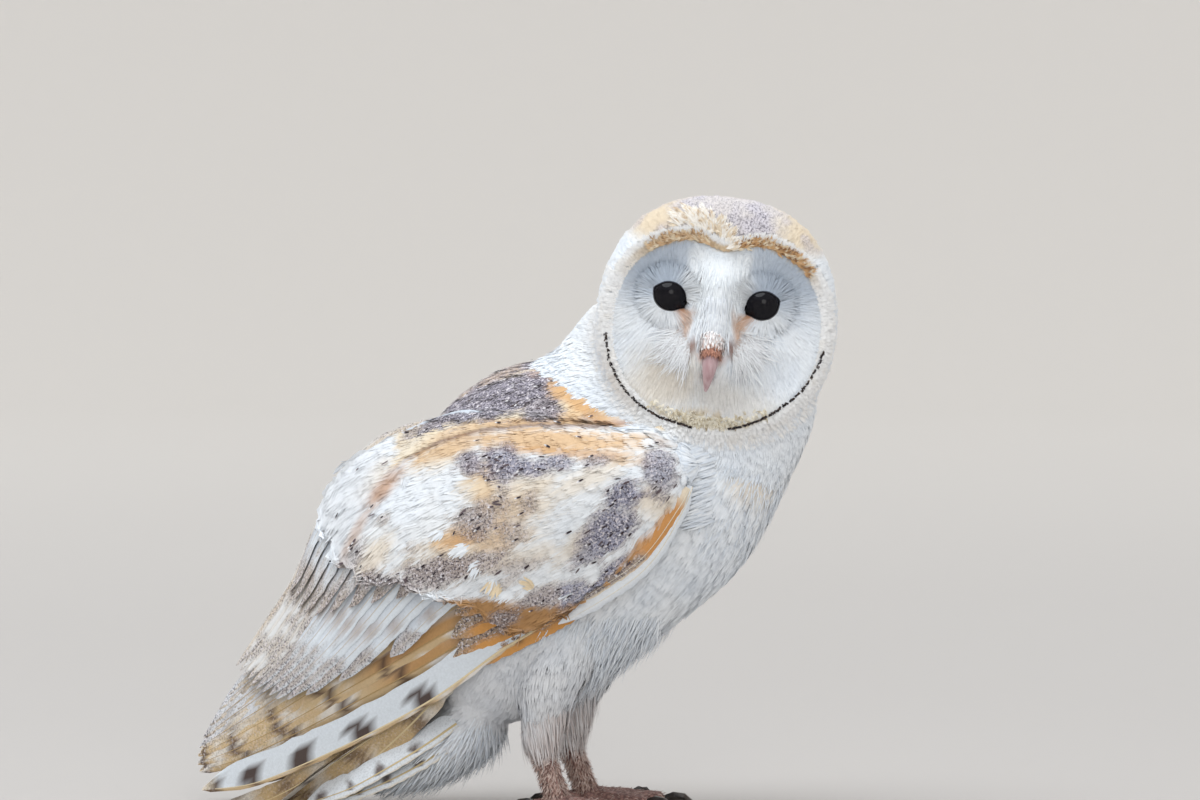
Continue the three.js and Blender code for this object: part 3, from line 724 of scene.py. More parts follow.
def plumes(p0, face, d0, length, half, h0, h1, paint, seed, nb=9, rows=4, fan=0.25, blade=1.5, tip=0.25,
           flow=flow_body, bend=0.35, loose=0.10, start=0.18, dip=0.25, power=1.0, wander=0.12, stay=None):
    """Small soft feathers: each is a fan of narrow blades that leave one shaft and end on a rounded edge."""
    rng = np.random.default_rng(seed)
    m = len(p0)
    ones = np.ones(m)
    length, half, h0, h1 = (ones * x for x in (length, half, h0, h1))
    ns = 4
    n = field(p0)[1]
    d = unit(d0 + np.cross(n, d0) * rng.normal(0, wander, (m, 1)))
    lift = 1 + rng.normal(0, 0.16, m).clip(-0.4, 0.5)
    s_pts, s_dir, s_nor, s_hgt = [], [], [], []
    p, _ = settle(p0, h0, 1)
    for k in range(ns + 1):
        t = k / ns
        h = h0 + (h1 * lift - h0) * t ** power
        if k:
            p = p + d * (length / ns)[:, None]
        p, n = settle(p, h)
        d = unit(d - n * (d * n).sum(-1, keepdims=True))
        if flow is not None and bend:
            d = unit(d * (1 - bend) + flow(p, n) * bend)
        s_pts.append(p), s_dir.append(d), s_nor.append(n), s_hgt.append(h)
    s_pts, s_dir, s_nor, s_hgt = (np.stack(x, 1) for x in (s_pts, s_dir, s_nor, s_hgt))
    q = (np.linspace(-1, 1, nb) if nb > 1 else np.zeros(1)) + rng.normal(0, 0.5 / nb, (m, nb))
    end = 1 - tip * np.abs(q) ** 2 + rng.normal(0, loose * 0.5, (m, nb))
    beg = start + 0.22 * rng.random((m, nb))
    u = np.linspace(0, 1, rows)
    s = (beg[..., None] + (end - beg)[..., None] * u).clip(0, 1.12)
    y = q[..., None] * half[:, None, None] * (fan + (1 - fan) * u ** 0.8) + rng.normal(0, loose, (m, nb, 1)) * half[:, None, None] * u ** 1.5 * 0.6
    x = np.clip(s, 0, 0.9999) * ns
    i = x.astype(int)
    f = (x - i)[..., None]
    over = (s - 1).clip(0)[..., None] * length[:, None, None, None]
    mi = np.arange(m)[:, None, None]

    def at(arr):
        return arr[mi, i] * (1 - f) + arr[mi, i + 1] * f
    dd, nn = unit(at(s_dir)), unit(at(s_nor))
    c = at(s_pts) + np.cross(nn, dd) * y[..., None] + dd * over
    hh = (s_hgt[mi, i] * (1 - f[..., 0]) + s_hgt[mi, i + 1] * f[..., 0])
    hh = hh * (1 - dip * (q ** 2)[..., None] * u) + rng.normal(0, loose * 2.2, (m, nb, 1)) * u ** 2 * h1[:, None, None] * 0.3
    hh = np.maximum(hh, 0.12)
    c, nn = settle(c, hh, 2)
    tdir = unit(np.gradient(c, axis=2)) if rows > 2 else unit(np.repeat(c[:, :, 1:] - c[:, :, :1], 2, axis=2))
    side = unit(np.cross(nn, tdir))
    prof = np.interp(u, [0, 0.35, 0.7, 1], [0.55, 1, 0.85, 0.16])
    wv = blade * prof * 0.5 * (1 + rng.normal(0, 0.15, (m, nb, 1)).clip(-0.4, 0.4))
    roll = rng.normal(0, 0.10, (m, nb, 1, 1))
    off = side * wv[..., None] + nn * (roll * wv[..., None])
    verts = np.stack([c - off, c + off], 3)
    seg = np.linalg.norm(np.diff(c, axis=2), axis=-1)
    want = (length / rows)[:, None]
    fine = (seg.max(2) < 1.9 * want + 0.6) & ((nn[:, :, 1:] * nn[:, :, :-1]).sum(-1).min(2) > 0.35)
    fine &= (tdir[:, :, 1:] * tdir[:, :, :-1]).sum(-1).min(2) > 0.2
    if stay is not None:
        fine &= stay(c, nn)
    col, fleck = paint(c, s, np.broadcast_to(q[..., None], s.shape), rng.random((m, 1, 1)), rng.random((m, nb, 1)))
    fleck = np.broadcast_to(fleck, s.shape)
    cols = np.repeat(col[:, :, :, None, :], 2, 3)
    fl = np.repeat(fleck[:, :, :, None], 2, 3)
    uv0 = SKIN_FACE_UV[face][:, None, None, None, :]
    uvq = np.stack([np.repeat((q[..., None] * 0.5 * np.ones(rows))[..., None], 2, 3) + np.array([-0.06, 0.06]),
                    np.repeat((s - 0.5)[..., None], 2, 3)], -1) * 0.0028
    uv = uv0 + uvq
    k = fine.reshape(-1)
    keep = lambda a, w: a.reshape((m * nb, -1, w))[k].reshape(-1, w)
    return (keep(verts, 3), grid_quads(int(k.sum()), rows, 2), keep(cols, 3), keep(fl, 1)[:, 0], keep(uv, 2).clip(0, 1))


def gather(name, parts, mat, slot):
    """One joined mesh from several sets of blades."""
    base, qs = 0, []
    for v, q, *_ in parts:
        qs.append(q + base)
        base += len(v)
    v = np.concatenate([p[0] for p in parts])
    q = np.concatenate(qs)
    c = np.concatenate([p[2] for p in parts])
    f = np.concatenate([p[3] for p in parts])
    uv = np.concatenate([p[4] for p in parts])
    ob = new_mesh(name, v, q, colors=np.clip(c, 0, 1), uv=uv)
    at = ob.data.attributes.new("fleck", "FLOAT", "POINT")
    at.data.foreach_set("value", f.astype(np.float32))
    finish_piece(ob, mat, slot)
    tick(f"{name}: {len(q) * 2} triangles")
    return ob


# ----------------------------------------------------------------- colours
WHITE = lin(240, 244, 248)
COOL = lin(218, 227, 238)
CREAM = lin(240, 226, 200)
BUFF = lin(234, 206, 160)
ORANGE = lin(225, 188, 142)
DEEP = lin(210, 157, 100)
# Painted shade for the crease along the fold line, on the shoulder feathers.
MANTLE_CREASE_SHADE = lin(168, 108, 60)
# Painted shade for the crease just under the fold line, on the wing.
WING_CREASE_SHADE = lin(128, 88, 58)
GREY = lin(136, 135, 158)
GREY_BROWN = lin(168, 154, 150)
INK = lin(38, 32, 36)
LEG = lin(176, 134, 122)


def blend(c, k, w):
    w = np.asarray(w)[..., None]
    return c * (1 - w) + k * w


def blob(x, y, cx, cy, rx, ry, turn=0.0, soft=0.35, wob=0.0):
    c, s = math.cos(turn * DEG), math.sin(turn * DEG)
    dx, dy = x - cx, y - cy
    d = np.sqrt(((dx * c + dy * s) / rx) ** 2 + ((-dx * s + dy * c) / ry) ** 2) + wob
    return 1 - sm(1 - soft, 1 + soft, d)


# each: centre across, centre down, half length, half height, turn (clockwise on the side plan), strength
WING_BUFF = [(482, 487, 24, 14, -20, 0.8), (440, 455, 30, 12, -25, 0.6), (520, 500, 42, 24, -15, 0.55), (590, 478, 40, 10, -25, 0.4),
             (650, 500, 20, 14, -40, 0.5), (470, 545, 60, 14, -15, 0.55), (370, 560, 30, 12, -50, 0.5), (575, 545, 30, 9, -45, 0.4),
             (372, 478, 30, 9, -48, 0.6), (665, 505, 14, 10, -30, 0.5), (500, 560, 60, 10, -10, 0.4)]
WING_ORANGE = [(550, 441, 92, 12, 2, 0.9), (455, 446, 44, 9, -20, 0.75), (464, 537, 27, 12, -10, 0.85), (499, 530, 12, 20, 10, 0.6),
               (478, 470, 18, 12, 20, 0.55), (492, 545, 22, 8, -10, 0.55), (512, 512, 18, 22, 0, 0.3), (600, 455, 52, 8, 8, 0.6), (485, 500, 10, 16, 0, 0.45)]
WING_DEEP = [(640, 549, 30, 6.0, -47, 0.95), (660, 524, 16, 4, -55, 0.8), (560, 452, 60, 4, 4, 0.4), (462, 540, 16, 6, -10, 0.5)]
# A dark orange-brown stripe along the wing's rear edge: buff feathers, darkened with painted shade.
WING_SHADED_BUFF = [(384, 487, 26, 7.5, -50, 0.95), (356, 532, 28, 5, -62, 0.6), (334, 578, 24, 4, -60, 0.45)]
WING_GREY = [(470, 463, 13, 12, 0, 0.85), (501, 464, 15, 20, 10, 0.95), (528, 467, 24, 9, 5, 0.95), (557, 463, 17, 7, 0, 0.85),
             (597, 461, 14, 6, -5, 0.6), (503, 500, 9, 17, 5, 0.6), (528, 504, 10, 13, 15, 0.65), (477, 523, 20, 20, 0, 0.85),
             (511, 532, 15, 15, 0, 0.6), (660, 472, 16, 26, -8, 0.8), (626, 496, 18, 14, -20, 1.0), (608, 532, 33, 21, -46, 1.0),
             (588, 554, 22, 10, -30, 0.7), (556, 596, 42, 11, -14, 0.95), (611, 574, 33, 8, -45, 1.0), (570, 606, 16, 8, -20, 0.9),
             (443, 570, 48, 14, -12, 1.0), (475, 563, 30, 12, -10, 0.9), (395, 584, 27, 8, 8, 1.0), (366, 582, 17, 12, -30, 0.9),
             (352, 558, 9, 20, 20, 0.8), (520, 566, 26, 8, -8, 0.5), (500, 586, 20, 5, -25, 0.4), (382, 520, 6, 6, 0, 0.5), (412, 548, 7, 5, 0, 0.4)]
MANTLE_GREY = [(503, 396, 58, 20, -16, 1.0), (470, 407, 42, 14, -22, 1.0), (438, 419, 27, 9, -35, 0.9), (537, 362, 18, 8, -18, 1.0),
               (540, 406, 22, 17, 10, 0.9), (590, 416, 9, 5, 5, 0.5), (548, 374, 26, 5, -30, 0.35), (412, 432, 14, 4, -35, 0.6)]
MANTLE_ORANGE = [(560, 387, 15, 15, 30, 1.0), (581, 405, 27, 9, 40, 1.0), (606, 419, 22, 5, 15, 0.8), (520, 424, 50, 6, -2, 0.65),
                 (545, 371, 22, 6, -22, 0.8), (460, 430, 34, 6, -20, 0.5), (500, 374, 60, 5, -24, 0.5), (566, 418, 20, 6, 10, 0.6)]
MANTLE_CREAM = [(455, 428, 40, 8, -22, 0.8), (500, 420, 40, 8, -8, 0.6), (410, 446, 26, 6, -38, 0.8)]


def fold_line(x):
    """The crease where the shoulder feathers lie over the folded wing, down the side plan."""
    return np.interp(x, [330, 366, 402, 441, 485, 538, 606, 640, 660], [545, 500, 460, 440, 428, 424, 425, 421, 430])


def pile(x, y, marks, wob=0.0, soft=0.35):
    out = np.zeros_like(x)
    for cx, cy, rx, ry, turn, k in marks:
        out = np.maximum(out, k * blob(x, y, cx, cy, rx, ry, turn, soft, wob))
    return out


def paint_white(c, s, q, fr, br):
    x, y = side_map(c)
    nz = noise(c, 9, 3)
    col = np.ones(c.shape) * WHITE
    col = blend(col, COOL, np.clip(0.30 + 0.35 * nz + 0.16 * (br - 0.5), 0, 1) * np.ones_like(s))
    chest = blob(x, y, 756, 478, 26, 28, 0, 0.6) * 0.40 * sm(0.0, 0.5, noise(c, 7, 14) + 0.2)
    col = blend(col, BUFF, chest)
    # Painted shade: the lower belly is greyed towards the bottom.
    belly = sm(600, 700, y) * (x < 600)
    col = blend(col, lin(206, 204, 206), 0.35 * belly)
    # Painted shade: each feather is a little darker towards its root, where the next feathers cover it.
    return col * (0.95 + 0.05 * sm(0.1, 0.6, s))[..., None], np.zeros_like(s)


def mantle_colour(x, y, c, wob):
    back = np.clip(1 - np.abs(c[..., 1]) / 30, 0, 1)
    col = np.ones(c.shape) * blend(CREAM, BUFF, 0.35)
    g = pile(x, y, MANTLE_GREY, wob, 0.3)
    g = np.maximum(g, 0.85 * back * sm(0.0, 0.4, noise(c, 17, 5) + 0.35) * sm(350, 372, y))
    o = pile(x, y, MANTLE_ORANGE, wob)
    o = np.maximum(o, 0.6 * back * sm(-0.1, 0.4, noise(c + 40, 14, 6)) * sm(350, 372, y))
    col = blend(col, lin(244, 234, 214), pile(x, y, MANTLE_CREAM, wob, 0.5))
    col = blend(col, blend(ORANGE, DEEP, 0.35), o)
    g = g * (1 - 0.75 * sm(0.7, 0.95, o))
    col = blend(col, GREY, 0.85 * g)
    return col, g


def paint_mantle(c, s, q, fr, br):
    x, y = side_map(c)
    wob = 0.16 * noise(c, 5, 8) + 0.22 * (br - 0.5) + 0.15 * (fr - 0.5)
    col, fl = mantle_colour(x, y, c, wob)
    white = sm(0, 1, (x - 556) / 40 - (y - 372) / 45 + wob * 0.5)
    col = blend(col, WHITE, white)
    fl = fl * (1 - white)
    # Painted shade: a dark rust line in the crease along the fold line, where the shoulder feathers lie over the wing.
    edge = bump(y - fold_line(x), 3.5) * (np.abs(c[..., 1]) > 18)
    col = blend(col, MANTLE_CREASE_SHADE, 0.6 * edge)
    pale = sm(430, 390, x) * (1 - fl)
    col = blend(col, lin(236, 232, 228), 0.7 * pale)
    # Painted shade: each feather is a little darker towards its root, where the next feathers cover it.
    return col * (0.93 + 0.07 * sm(0.15, 0.6, s))[..., None], fl


def paint_wing(c, s, q, fr, br):
    x, y = side_map(c)
    wob = 0.20 * noise(c, 6, 8) + 0.16 * noise(c, 2.6, 9) + 0.34 * (br - 0.5) + 0.24 * (fr - 0.5)
    col = np.ones(c.shape) * WHITE
    col = blend(col, COOL, np.clip(0.15 + 0.25 * noise(c, 9, 3), 0, 1))
    col = blend(col, CREAM, 0.12 * sm(0, 0.6, noise(c, 14, 12)))
    col = blend(col, BUFF, pile(x, y, WING_BUFF, wob, 0.6) * 0.9)
    col = blend(col, ORANGE, pile(x, y, WING_ORANGE, wob, 0.5))
    col = blend(col, DEEP, pile(x, y, WING_DEEP, wob, 0.5))
    g = pile(x, y, WING_GREY, wob, 0.4)
    g = g * (1 - 0.8 * pile(x, y, WING_DEEP[:2], wob, 0.5))
    tint = np.where((x < 560)[..., None] & (y > 488)[..., None], GREY_BROWN, GREY)
    col = blend(col, BUFF, 0.35 * sm(0.02, 0.4, g) * (1 - g))
    col = blend(col, tint, 0.85 * g)
    dark = pile(x, y, WING_SHADED_BUFF, wob * 0.5, 0.6)
    over = sm(1.5, -1.5, y - fold_line(x)) * (x > 395)
    mc, mg = mantle_colour(x, y, c, wob)
    col = blend(col, mc, over)
    g = g * (1 - over) + mg * over
    # Painted shade: a brown line in the crease just under the fold line, where the shoulder feathers lie over the wing.
    fold_shade = bump(y - fold_line(x) - 1.0, 2.6) * sm(385, 420, x) * sm(655, 620, x)
    col = blend(col, WING_CREASE_SHADE, 0.75 * fold_shade)
    g = g * (1 - fold_shade)
    low = sm(-1.5, 2.5, y + 3 * wob - np.interp(x, [440, 482, 510, 545, 575, 600, 640], [600, 598, 603, 608, 603, 586, 548])) * sm(425, 445, x)
    under = blend(np.ones(c.shape) * lin(190, 146, 98), GREY_BROWN, 0.9 * sm(0.0, 0.5, noise(c, 6, 27) + 0.2) * sm(590, 540, x))
    col = blend(col, under * 0.85, low)
    g = g * (1 - low) + 0.8 * low * sm(0.0, 0.5, noise(c, 6, 27) + 0.2) * sm(590, 540, x)
    rear = sm(0.0, 1.0, (400 - x) / 40 - (y - 470) / 120)
    col = blend(col, lin(234, 238, 243), rear * 0.9)
    # The stripe along the wing's rear edge: buff feathers with painted shade.
    col = blend(col, lin(184, 132, 84), dark * 0.8)
    # Painted shade: each feather is a little darker towards its root, where the next feathers cover it.
    return col * (0.94 + 0.06 * sm(0.15, 0.6, s))[..., None], g * (1 - rear)


def paint_crown(c, s, q, fr, br):
    u, v, w = head_local(c)
    wob = 0.22 * noise(c, 4.5, 8) + 0.2 * (br - 0.5) + 0.15 * (fr - 0.5)
    col = np.ones(c.shape) * WHITE
    col = blend(col, COOL, np.clip(0.25 + 0.35 * noise(c, 9, 3), 0, 1))
    r = np.abs(u - 2) / 47
    cap = sm(1.04, 0.86, r + wob * 0.2) * sm(34, 44, v + w * 0.10 + wob * 3)
    col = blend(col, lin(230, 220, 204), cap * 0.9)
    side = cap * sm(15, 30, np.abs(u - 2) + 6 * wob)
    col = blend(col, lin(222, 204, 176), side * 0.8)
    g = sm(28, 17, np.abs(u + 0.5) + 8 * wob) * (0.60 + 0.40 * sm(-0.25, 0.3, noise(c, 6, 15)))
    g = np.maximum(g, 0.55 * sm(0.05, 0.4, noise(c, 7, 16))) * cap
    nape = sm(6, -16, w) * sm(60, 36, np.abs(u)) * sm(-30, 0, v)
    col = blend(col, lin(226, 190, 140), nape * (0.55 + 0.35 * sm(-0.3, 0.3, noise(c, 11, 23))))
    g = np.maximum(g * (1 - 0.5 * nape), nape * 0.75 * sm(0.0, 0.35, noise(c, 9, 21)))
    col = blend(col, lin(194, 191, 208), 0.70 * g)
    # Painted shade: each feather is a little darker towards its root, where the next feathers cover it.
    return col * (0.95 + 0.05 * sm(0.1, 0.6, s))[..., None], 0.72 * g


# ---------------------------------------------------------------- body coat
HEAD_C = head_local(FACE_MID)
HEAD_T = np.hypot(HEAD_C[0], HEAD_C[1]) / disc_edge(np.arctan2(HEAD_C[0], HEAD_C[1]))
FRONT = (LABEL == L_HEAD) & (HEAD_C[2] > 4)
IN_DISC = FRONT & (HEAD_T < 1.0)
EYE_DIST = np.hypot(np.abs(HEAD_C[0] - FEATURE_U) - EYE_U, HEAD_C[1] - EYE_V)


def plume_rows(where, spacing, seed, paint, length, half, h0, h1, flow=flow_body, **kw):
    p, face = roots(where, spacing, seed)
    n = field(p)[1]
    d = flow(p, n)
    f = lambda x: x(p, face) if callable(x) else x
    return plumes(p, face, d, f(length), f(half), f(h0), f(h1), paint, seed + 1, flow=flow, **kw)


BACK = ((FACE_MID[:, 2] > 150) | (FACE_MID[:, 0] < -20)) & (unit(SKIN_TRI_A)[:, 2] > 0.15)
_x, _y = side_map(FACE_MID)
MANTLE = ((LABEL == L_TRUNK) | (LABEL == L_NECK)) & (_x < 640) & (FACE_MID[:, 2] > 95) & ((unit(SKIN_TRI_A) @ unit(np.array([-0.62, 0, 0.78]))) > 0.05)
BREAST = ((LABEL == L_TRUNK) | (LABEL == L_NECK)) & ~MANTLE
COAT = "white_plumage"

gather("plumage_breast", [plume_rows(BREAST & (FACE_MID[:, 2] > 100), 2.6, 101, paint_white, 15, 3.4, 0.4, 2.0, nb=8, blade=1.5, loose=0.05)], MAT_SOFT, COAT)
gather("plumage_belly", [
    plume_rows(BREAST & (FACE_MID[:, 2] <= 100), 2.8, 111, paint_white, 15, 3.4, 0.4, 2.2, nb=8, blade=1.4, loose=0.09),
    plume_rows((LABEL == L_THIGH_R) | (LABEL == L_THIGH_L), 2.6, 121, paint_white, 12, 2.6, 0.4, 2.6, nb=7, blade=1.1, loose=0.16),
    plume_rows(LABEL == L_UNDER, 2.8, 131, paint_white, 15, 3.2, 0.4, 2.6, nb=7, blade=1.1, loose=0.2)], MAT_SOFT, COAT)
gather("plumage_mantle", [plume_rows(MANTLE, 2.5, 141, paint_mantle, 12, 3.2, 0.4, 2.5, nb=9, blade=1.3, loose=0.06)], MAT_SOFT, "wing_coverts")


def flow_head(p, n):
    """Back from the face, and straight outward close to the disc's rim."""
    u, v, w = head_local(p)
    r = np.hypot(u, v) + 1e-6
    t = r / disc_edge(np.arctan2(u, v))
    k = (sm(1.40, 1.12, t) * sm(-6, 6, w))[..., None]
    out = head_dir(u / r, v / r, -0.5 + 0 * r)
    d = flow_body(p, n) * (1 - k) + unit(out) * k
    return unit(d - n * (d * n).sum(-1, keepdims=True))


gather("plumage_head", [plume_rows((LABEL == L_HEAD) & ~IN_DISC & ~(FRONT & (HEAD_T < 1.035)), 1.8, 151, paint_crown, 7.5, 1.9, 0.25, 1.4, flow=flow_head,
                                   nb=6, rows=3, blade=0.9, loose=0.05)], MAT_SOFT, COAT)


def wing_coverts(side, seed):
    where = LABEL == (L_WING_R if side < 0 else L_WING_L)
    nrm = unit(SKIN_TRI_A)
    near_a, near_b = wing_near(FACE_MID, side)
    where = where & (nrm[:, 1] * side > -0.35) & ~((near_b < 0.045) & (near_a > 0.22) & (nrm[:, 1] * side < 0.35))

    def flow(p, n):
        a, b = wing_near(p, side)
        _, ta, tb, _ = wing_frame(a, b, side)
        d = unit(ta) + unit(tb) * 0.10
        return unit(d - n * (d * n).sum(-1, keepdims=True))
    p, face = roots(where, 2.7, seed)
    n = field(p)[1]
    d = flow(p, n)
    a, b = wing_near(p, side)
    size = 0.7 + 0.5 * sm(0.05, 0.4, a)

    def stay(c, nn):
        return ((nn[..., 1] * side).min(2) > -0.25) & ((nn[:, :, -1] * nn[:, :, 0]).sum(-1) > 0.45)
    return plumes(p, face, d, 16.5 * size, 3.9 * size, 0.3, 1.55, paint_wing, seed + 1, nb=9, blade=1.6, flow=None, tip=0.3, loose=0.03, stay=stay)


NEAR_A, NEAR_B = np.meshgrid(np.linspace(0, 1, 101), np.linspace(0, 1, 41), indexing="ij")
NEAR_P = wing(NEAR_A, NEAR_B).reshape(-1, 3)


def wing_near(p, side):
    """The wing's a and b nearest to given points."""
    from mathutils.kdtree import KDTree
    if not hasattr(wing_near, "tree"):
        t = KDTree(len(NEAR_P))
        for i, q in enumerate(NEAR_P.tolist()):
            t.insert(q, i)
        t.balance()
        wing_near.tree = t
    flat = np.array(p, float, copy=True).reshape(-1, 3)
    flat[:, 1] = flat[:, 1] * (-side)
    idx = np.array([wing_near.tree.find(q)[1] for q in flat.tolist()])
    shp = np.asarray(p).shape[:-1]
    return NEAR_A.ravel()[idx].reshape(shp), NEAR_B.ravel()[idx].reshape(shp)


def spots(where, seed, mark, flow):
    """Small dark spots with pale ends along the feather tips."""
    p, face = roots(where, 5.2, seed)
    x, y = side_map(p)
    g = mark(x, y, p)
    rng = np.random.default_rng(seed)
    ok = rng.random(len(p)) < g
    p, face = p[ok], face[ok]
    n = field(p)[1]

    def paint(c, s, q, fr, br):
        col = np.ones(c.shape) * blend(np.ones(c.shape) * lin(58, 48, 54), lin(110, 96, 100), 0.6 * (fr > 0.6) * np.ones_like(s))
        return blend(col, lin(232, 230, 232), sm(0.58, 0.68, s) * (fr < 0.75) * np.ones_like(s)), np.zeros_like(s)
    ln = 2.6 + 2.4 * rng.random(len(p))
    return plumes(p, face, flow(p, n), ln, 0.1, 2.0, 2.6, paint, seed, nb=1, rows=5, blade=0.9, flow=None, loose=0.0, start=0.0, wander=0.25)


def wing_flow(side):
    def flow(p, n):
        a, b = wing_near(p, side)
        _, ta, tb, _ = wing_frame(a, b, side)
        d = unit(ta) + unit(tb) * 0.10
        return unit(d - n * (d * n).sum(-1, keepdims=True))
    return flow


def wing_mark(x, y, p):
    g = pile(x, y, WING_GREY, 0.0, 0.4) * (y > fold_line(x) + 3)
    return 0.85 * g + 0.035


def mantle_mark(x, y, p):
    back = np.clip(1 - np.abs(p[:, 1]) / 30, 0, 1)
    return np.maximum(pile(x, y, MANTLE_GREY, 0.0, 0.4) * (np.abs(p[:, 1]) > 8), 0.5 * back * sm(350, 372, y)) * 0.9


def loose_blades(p, d, out, ln, width, bow, root, end):
    """Free filaments: from points p along d, bowed outwards, in colours from root to end."""
    m = len(p)
    u = np.array([0, 0.35, 0.7, 1.0])
    side = unit(np.cross(out, d) + 1e-9)
    c = p[:, None] + d[:, None] * (ln[:, None] * u)[..., None] + out[:, None] * (bow * np.sin(math.pi * u))[None, :, None]
    wv = 0.5 * width * np.array([0.8, 1.0, 0.75, 0.12])[None, :, None]
    verts = np.stack([c - side[:, None] * wv, c + side[:, None] * wv], 2)
    col = (root[:, None] * (1 - u)[None, :, None] + end[:, None] * u[None, :, None])[:, :, None] * np.ones((m, 4, 2, 1))
    idx = np.array([SKIN_BVH.find_nearest(q)[2] for q in p.tolist()])
    uv = SKIN_FACE_UV[idx][:, None, None] + np.stack([np.ones((m, 4, 1)) * np.array([-0.4, 0.4]), (u - 0.5)[None, :, None] * np.ones((m, 1, 2))], -1) * 0.0028
    return (verts.reshape(-1, 3), grid_quads(m, 4, 2), col.reshape(-1, 3), np.zeros(m * 8), uv.reshape(-1, 2).clip(0, 1))


def tone(m, rng, pale, dark):
    return blend(np.tile(pale, (m, 1)), dark, rng.random(m))


def fringes():
    """Loose wisps where the soft coat ends in the air, and over the edge of the folded wings."""
    rng = np.random.default_rng(271)
    nrm = unit(SKIN_TRI_A)
    x, y = side_map(FACE_MID)
    out = []
    for where, gap, ln, push, fall in (((LABEL == L_TRUNK) & (nrm[:, 2] < -0.15) & (x > 545) & (x < 660) & (FACE_MID[:, 2] < 92), 1.5, 9, 0.30, 0.5),
                                       ((LABEL == L_UNDER) & (nrm[:, 2] < 0.25), 1.5, 9, 0.35, 0.25),
                                       (((LABEL == L_TRUNK) | (LABEL == L_NECK)) & (nrm[:, 2] < 0.5) & (x > 700) & (FACE_MID[:, 2] > 120), 2.0, 6, 0.10, 0.3)):
        p, f = roots(where, gap, 272)
        n = field(p)[1]
        m = len(p)
        d = unit(flow_body(p, n) + n * push + np.array([0, 0, -fall]) + rng.normal(0, 0.14, (m, 3)))
        out.append(loose_blades(p + n * 0.8, d, n, ln * rng.uniform(0.6, 1.4, m), 0.55, 0.8, tone(m, rng, WHITE, COOL), tone(m, rng, WHITE, COOL)))
    for side in (-1, 1):
        where = ((LABEL == L_TRUNK) | (LABEL == L_NECK)) & (FACE_MID[:, 1] * side > 10) & (x > 676) & (x < 716) & (y > 425) & (y < 520)
        p, f = roots(where, 1.0, 275)
        n = field(p)[1]
        m = len(p)
        pull = rng.uniform(0.55, 1.0, m)[:, None]
        d = unit(np.array([-1.0, 0.0, -0.38]) + np.array([0, side, 0]) * pull + rng.normal(0, 0.06, (m, 3)))
        keep = (d * n).sum(1) > -0.12
        out.append(loose_blades((p + n * 1.4)[keep], d[keep], n[keep], rng.uniform(8, 14, m)[keep], 0.95, 1.2, tone(m, rng, WHITE, COOL)[keep], tone(m, rng, WHITE, COOL)[keep]))
        m = 420
        a, b = rng.uniform(0.0, 0.035, m), rng.uniform(-0.02, 0.95, m)
        q, ta, _, nn = wing_frame(a, b, side)
        nn = unit(nn)
        d = unit(-unit(ta) - nn * rng.uniform(0.25, 0.8, m)[:, None] + np.array([0, 0, -0.35]) + rng.normal(0, 0.08, (m, 3)))
        out.append(loose_blades(q + nn * 0.2, d, nn, rng.uniform(5, 10, m), 1.0, 0.8, tone(m, rng, WHITE, COOL), tone(m, rng, WHITE, COOL)))
    return out


gather("plumage_fringe", fringes(), MAT_SOFT, COAT)
gather("plumage_wing_right", [wing_coverts(-1, 161), spots(LABEL == L_WING_R, 163, wing_mark, wing_flow(-1))], MAT_SOFT, "wing_coverts")
gather("plumage_wing_left", [wing_coverts(1, 171), spots(LABEL == L_WING_L, 173, wing_mark, wing_flow(1))], MAT_SOFT, "wing_coverts")
gather("plumage_spots", [spots(MANTLE, 146, mantle_mark, flow_body)], MAT_SOFT, "wing_coverts")


def paint_skin():
    """The skin carries the same markings as the coat over it."""
    lab = np.zeros(len(SKIN_V), int)
    man = np.zeros(len(SKIN_V), bool)
    disc = np.zeros(len(SKIN_V), bool)
    for k in range(SKIN_F.shape[1]):
        lab[SKIN_F[:, k]] = LABEL
        man[SKIN_F[:, k]] |= MANTLE
        disc[SKIN_F[:, k]] |= IN_DISC
    c = SKIN_V[:, None, None]
    one = np.ones((len(SKIN_V), 1, 1))
    col = paint_white(c, one, 0 * one, 0.5 * one, 0.5 * one)[0]
    for mask, fn in ((lab == L_HEAD, paint_crown), (disc, paint_disc), (man, paint_mantle), ((lab == L_WING_R) | (lab == L_WING_L), paint_wing)):
        col = np.where(mask[:, None, None, None], fn(c, one, 0 * one, 0.5 * one, 0.5 * one)[0], col)
    rgba = np.ones((len(SKIN_V), 4), np.float32)
    # Painted shade: the skin under the coat is painted 7% darker than the coat's colours.
    rgba[:, :3] = np.clip(col.reshape(-1, 3), 0, 1) * 0.93
    att = skin_ob.data.color_attributes["Col"]
    if att.domain == "POINT":
        att.data.foreach_set("color", rgba.ravel())
    else:
        idx = np.zeros(len(skin_ob.data.loops), np.int32)
        skin_ob.data.loops.foreach_get("vertex_index", idx)
        att.data.foreach_set("color", rgba[idx].ravel())


# --------------------------------------------------------------- face disc


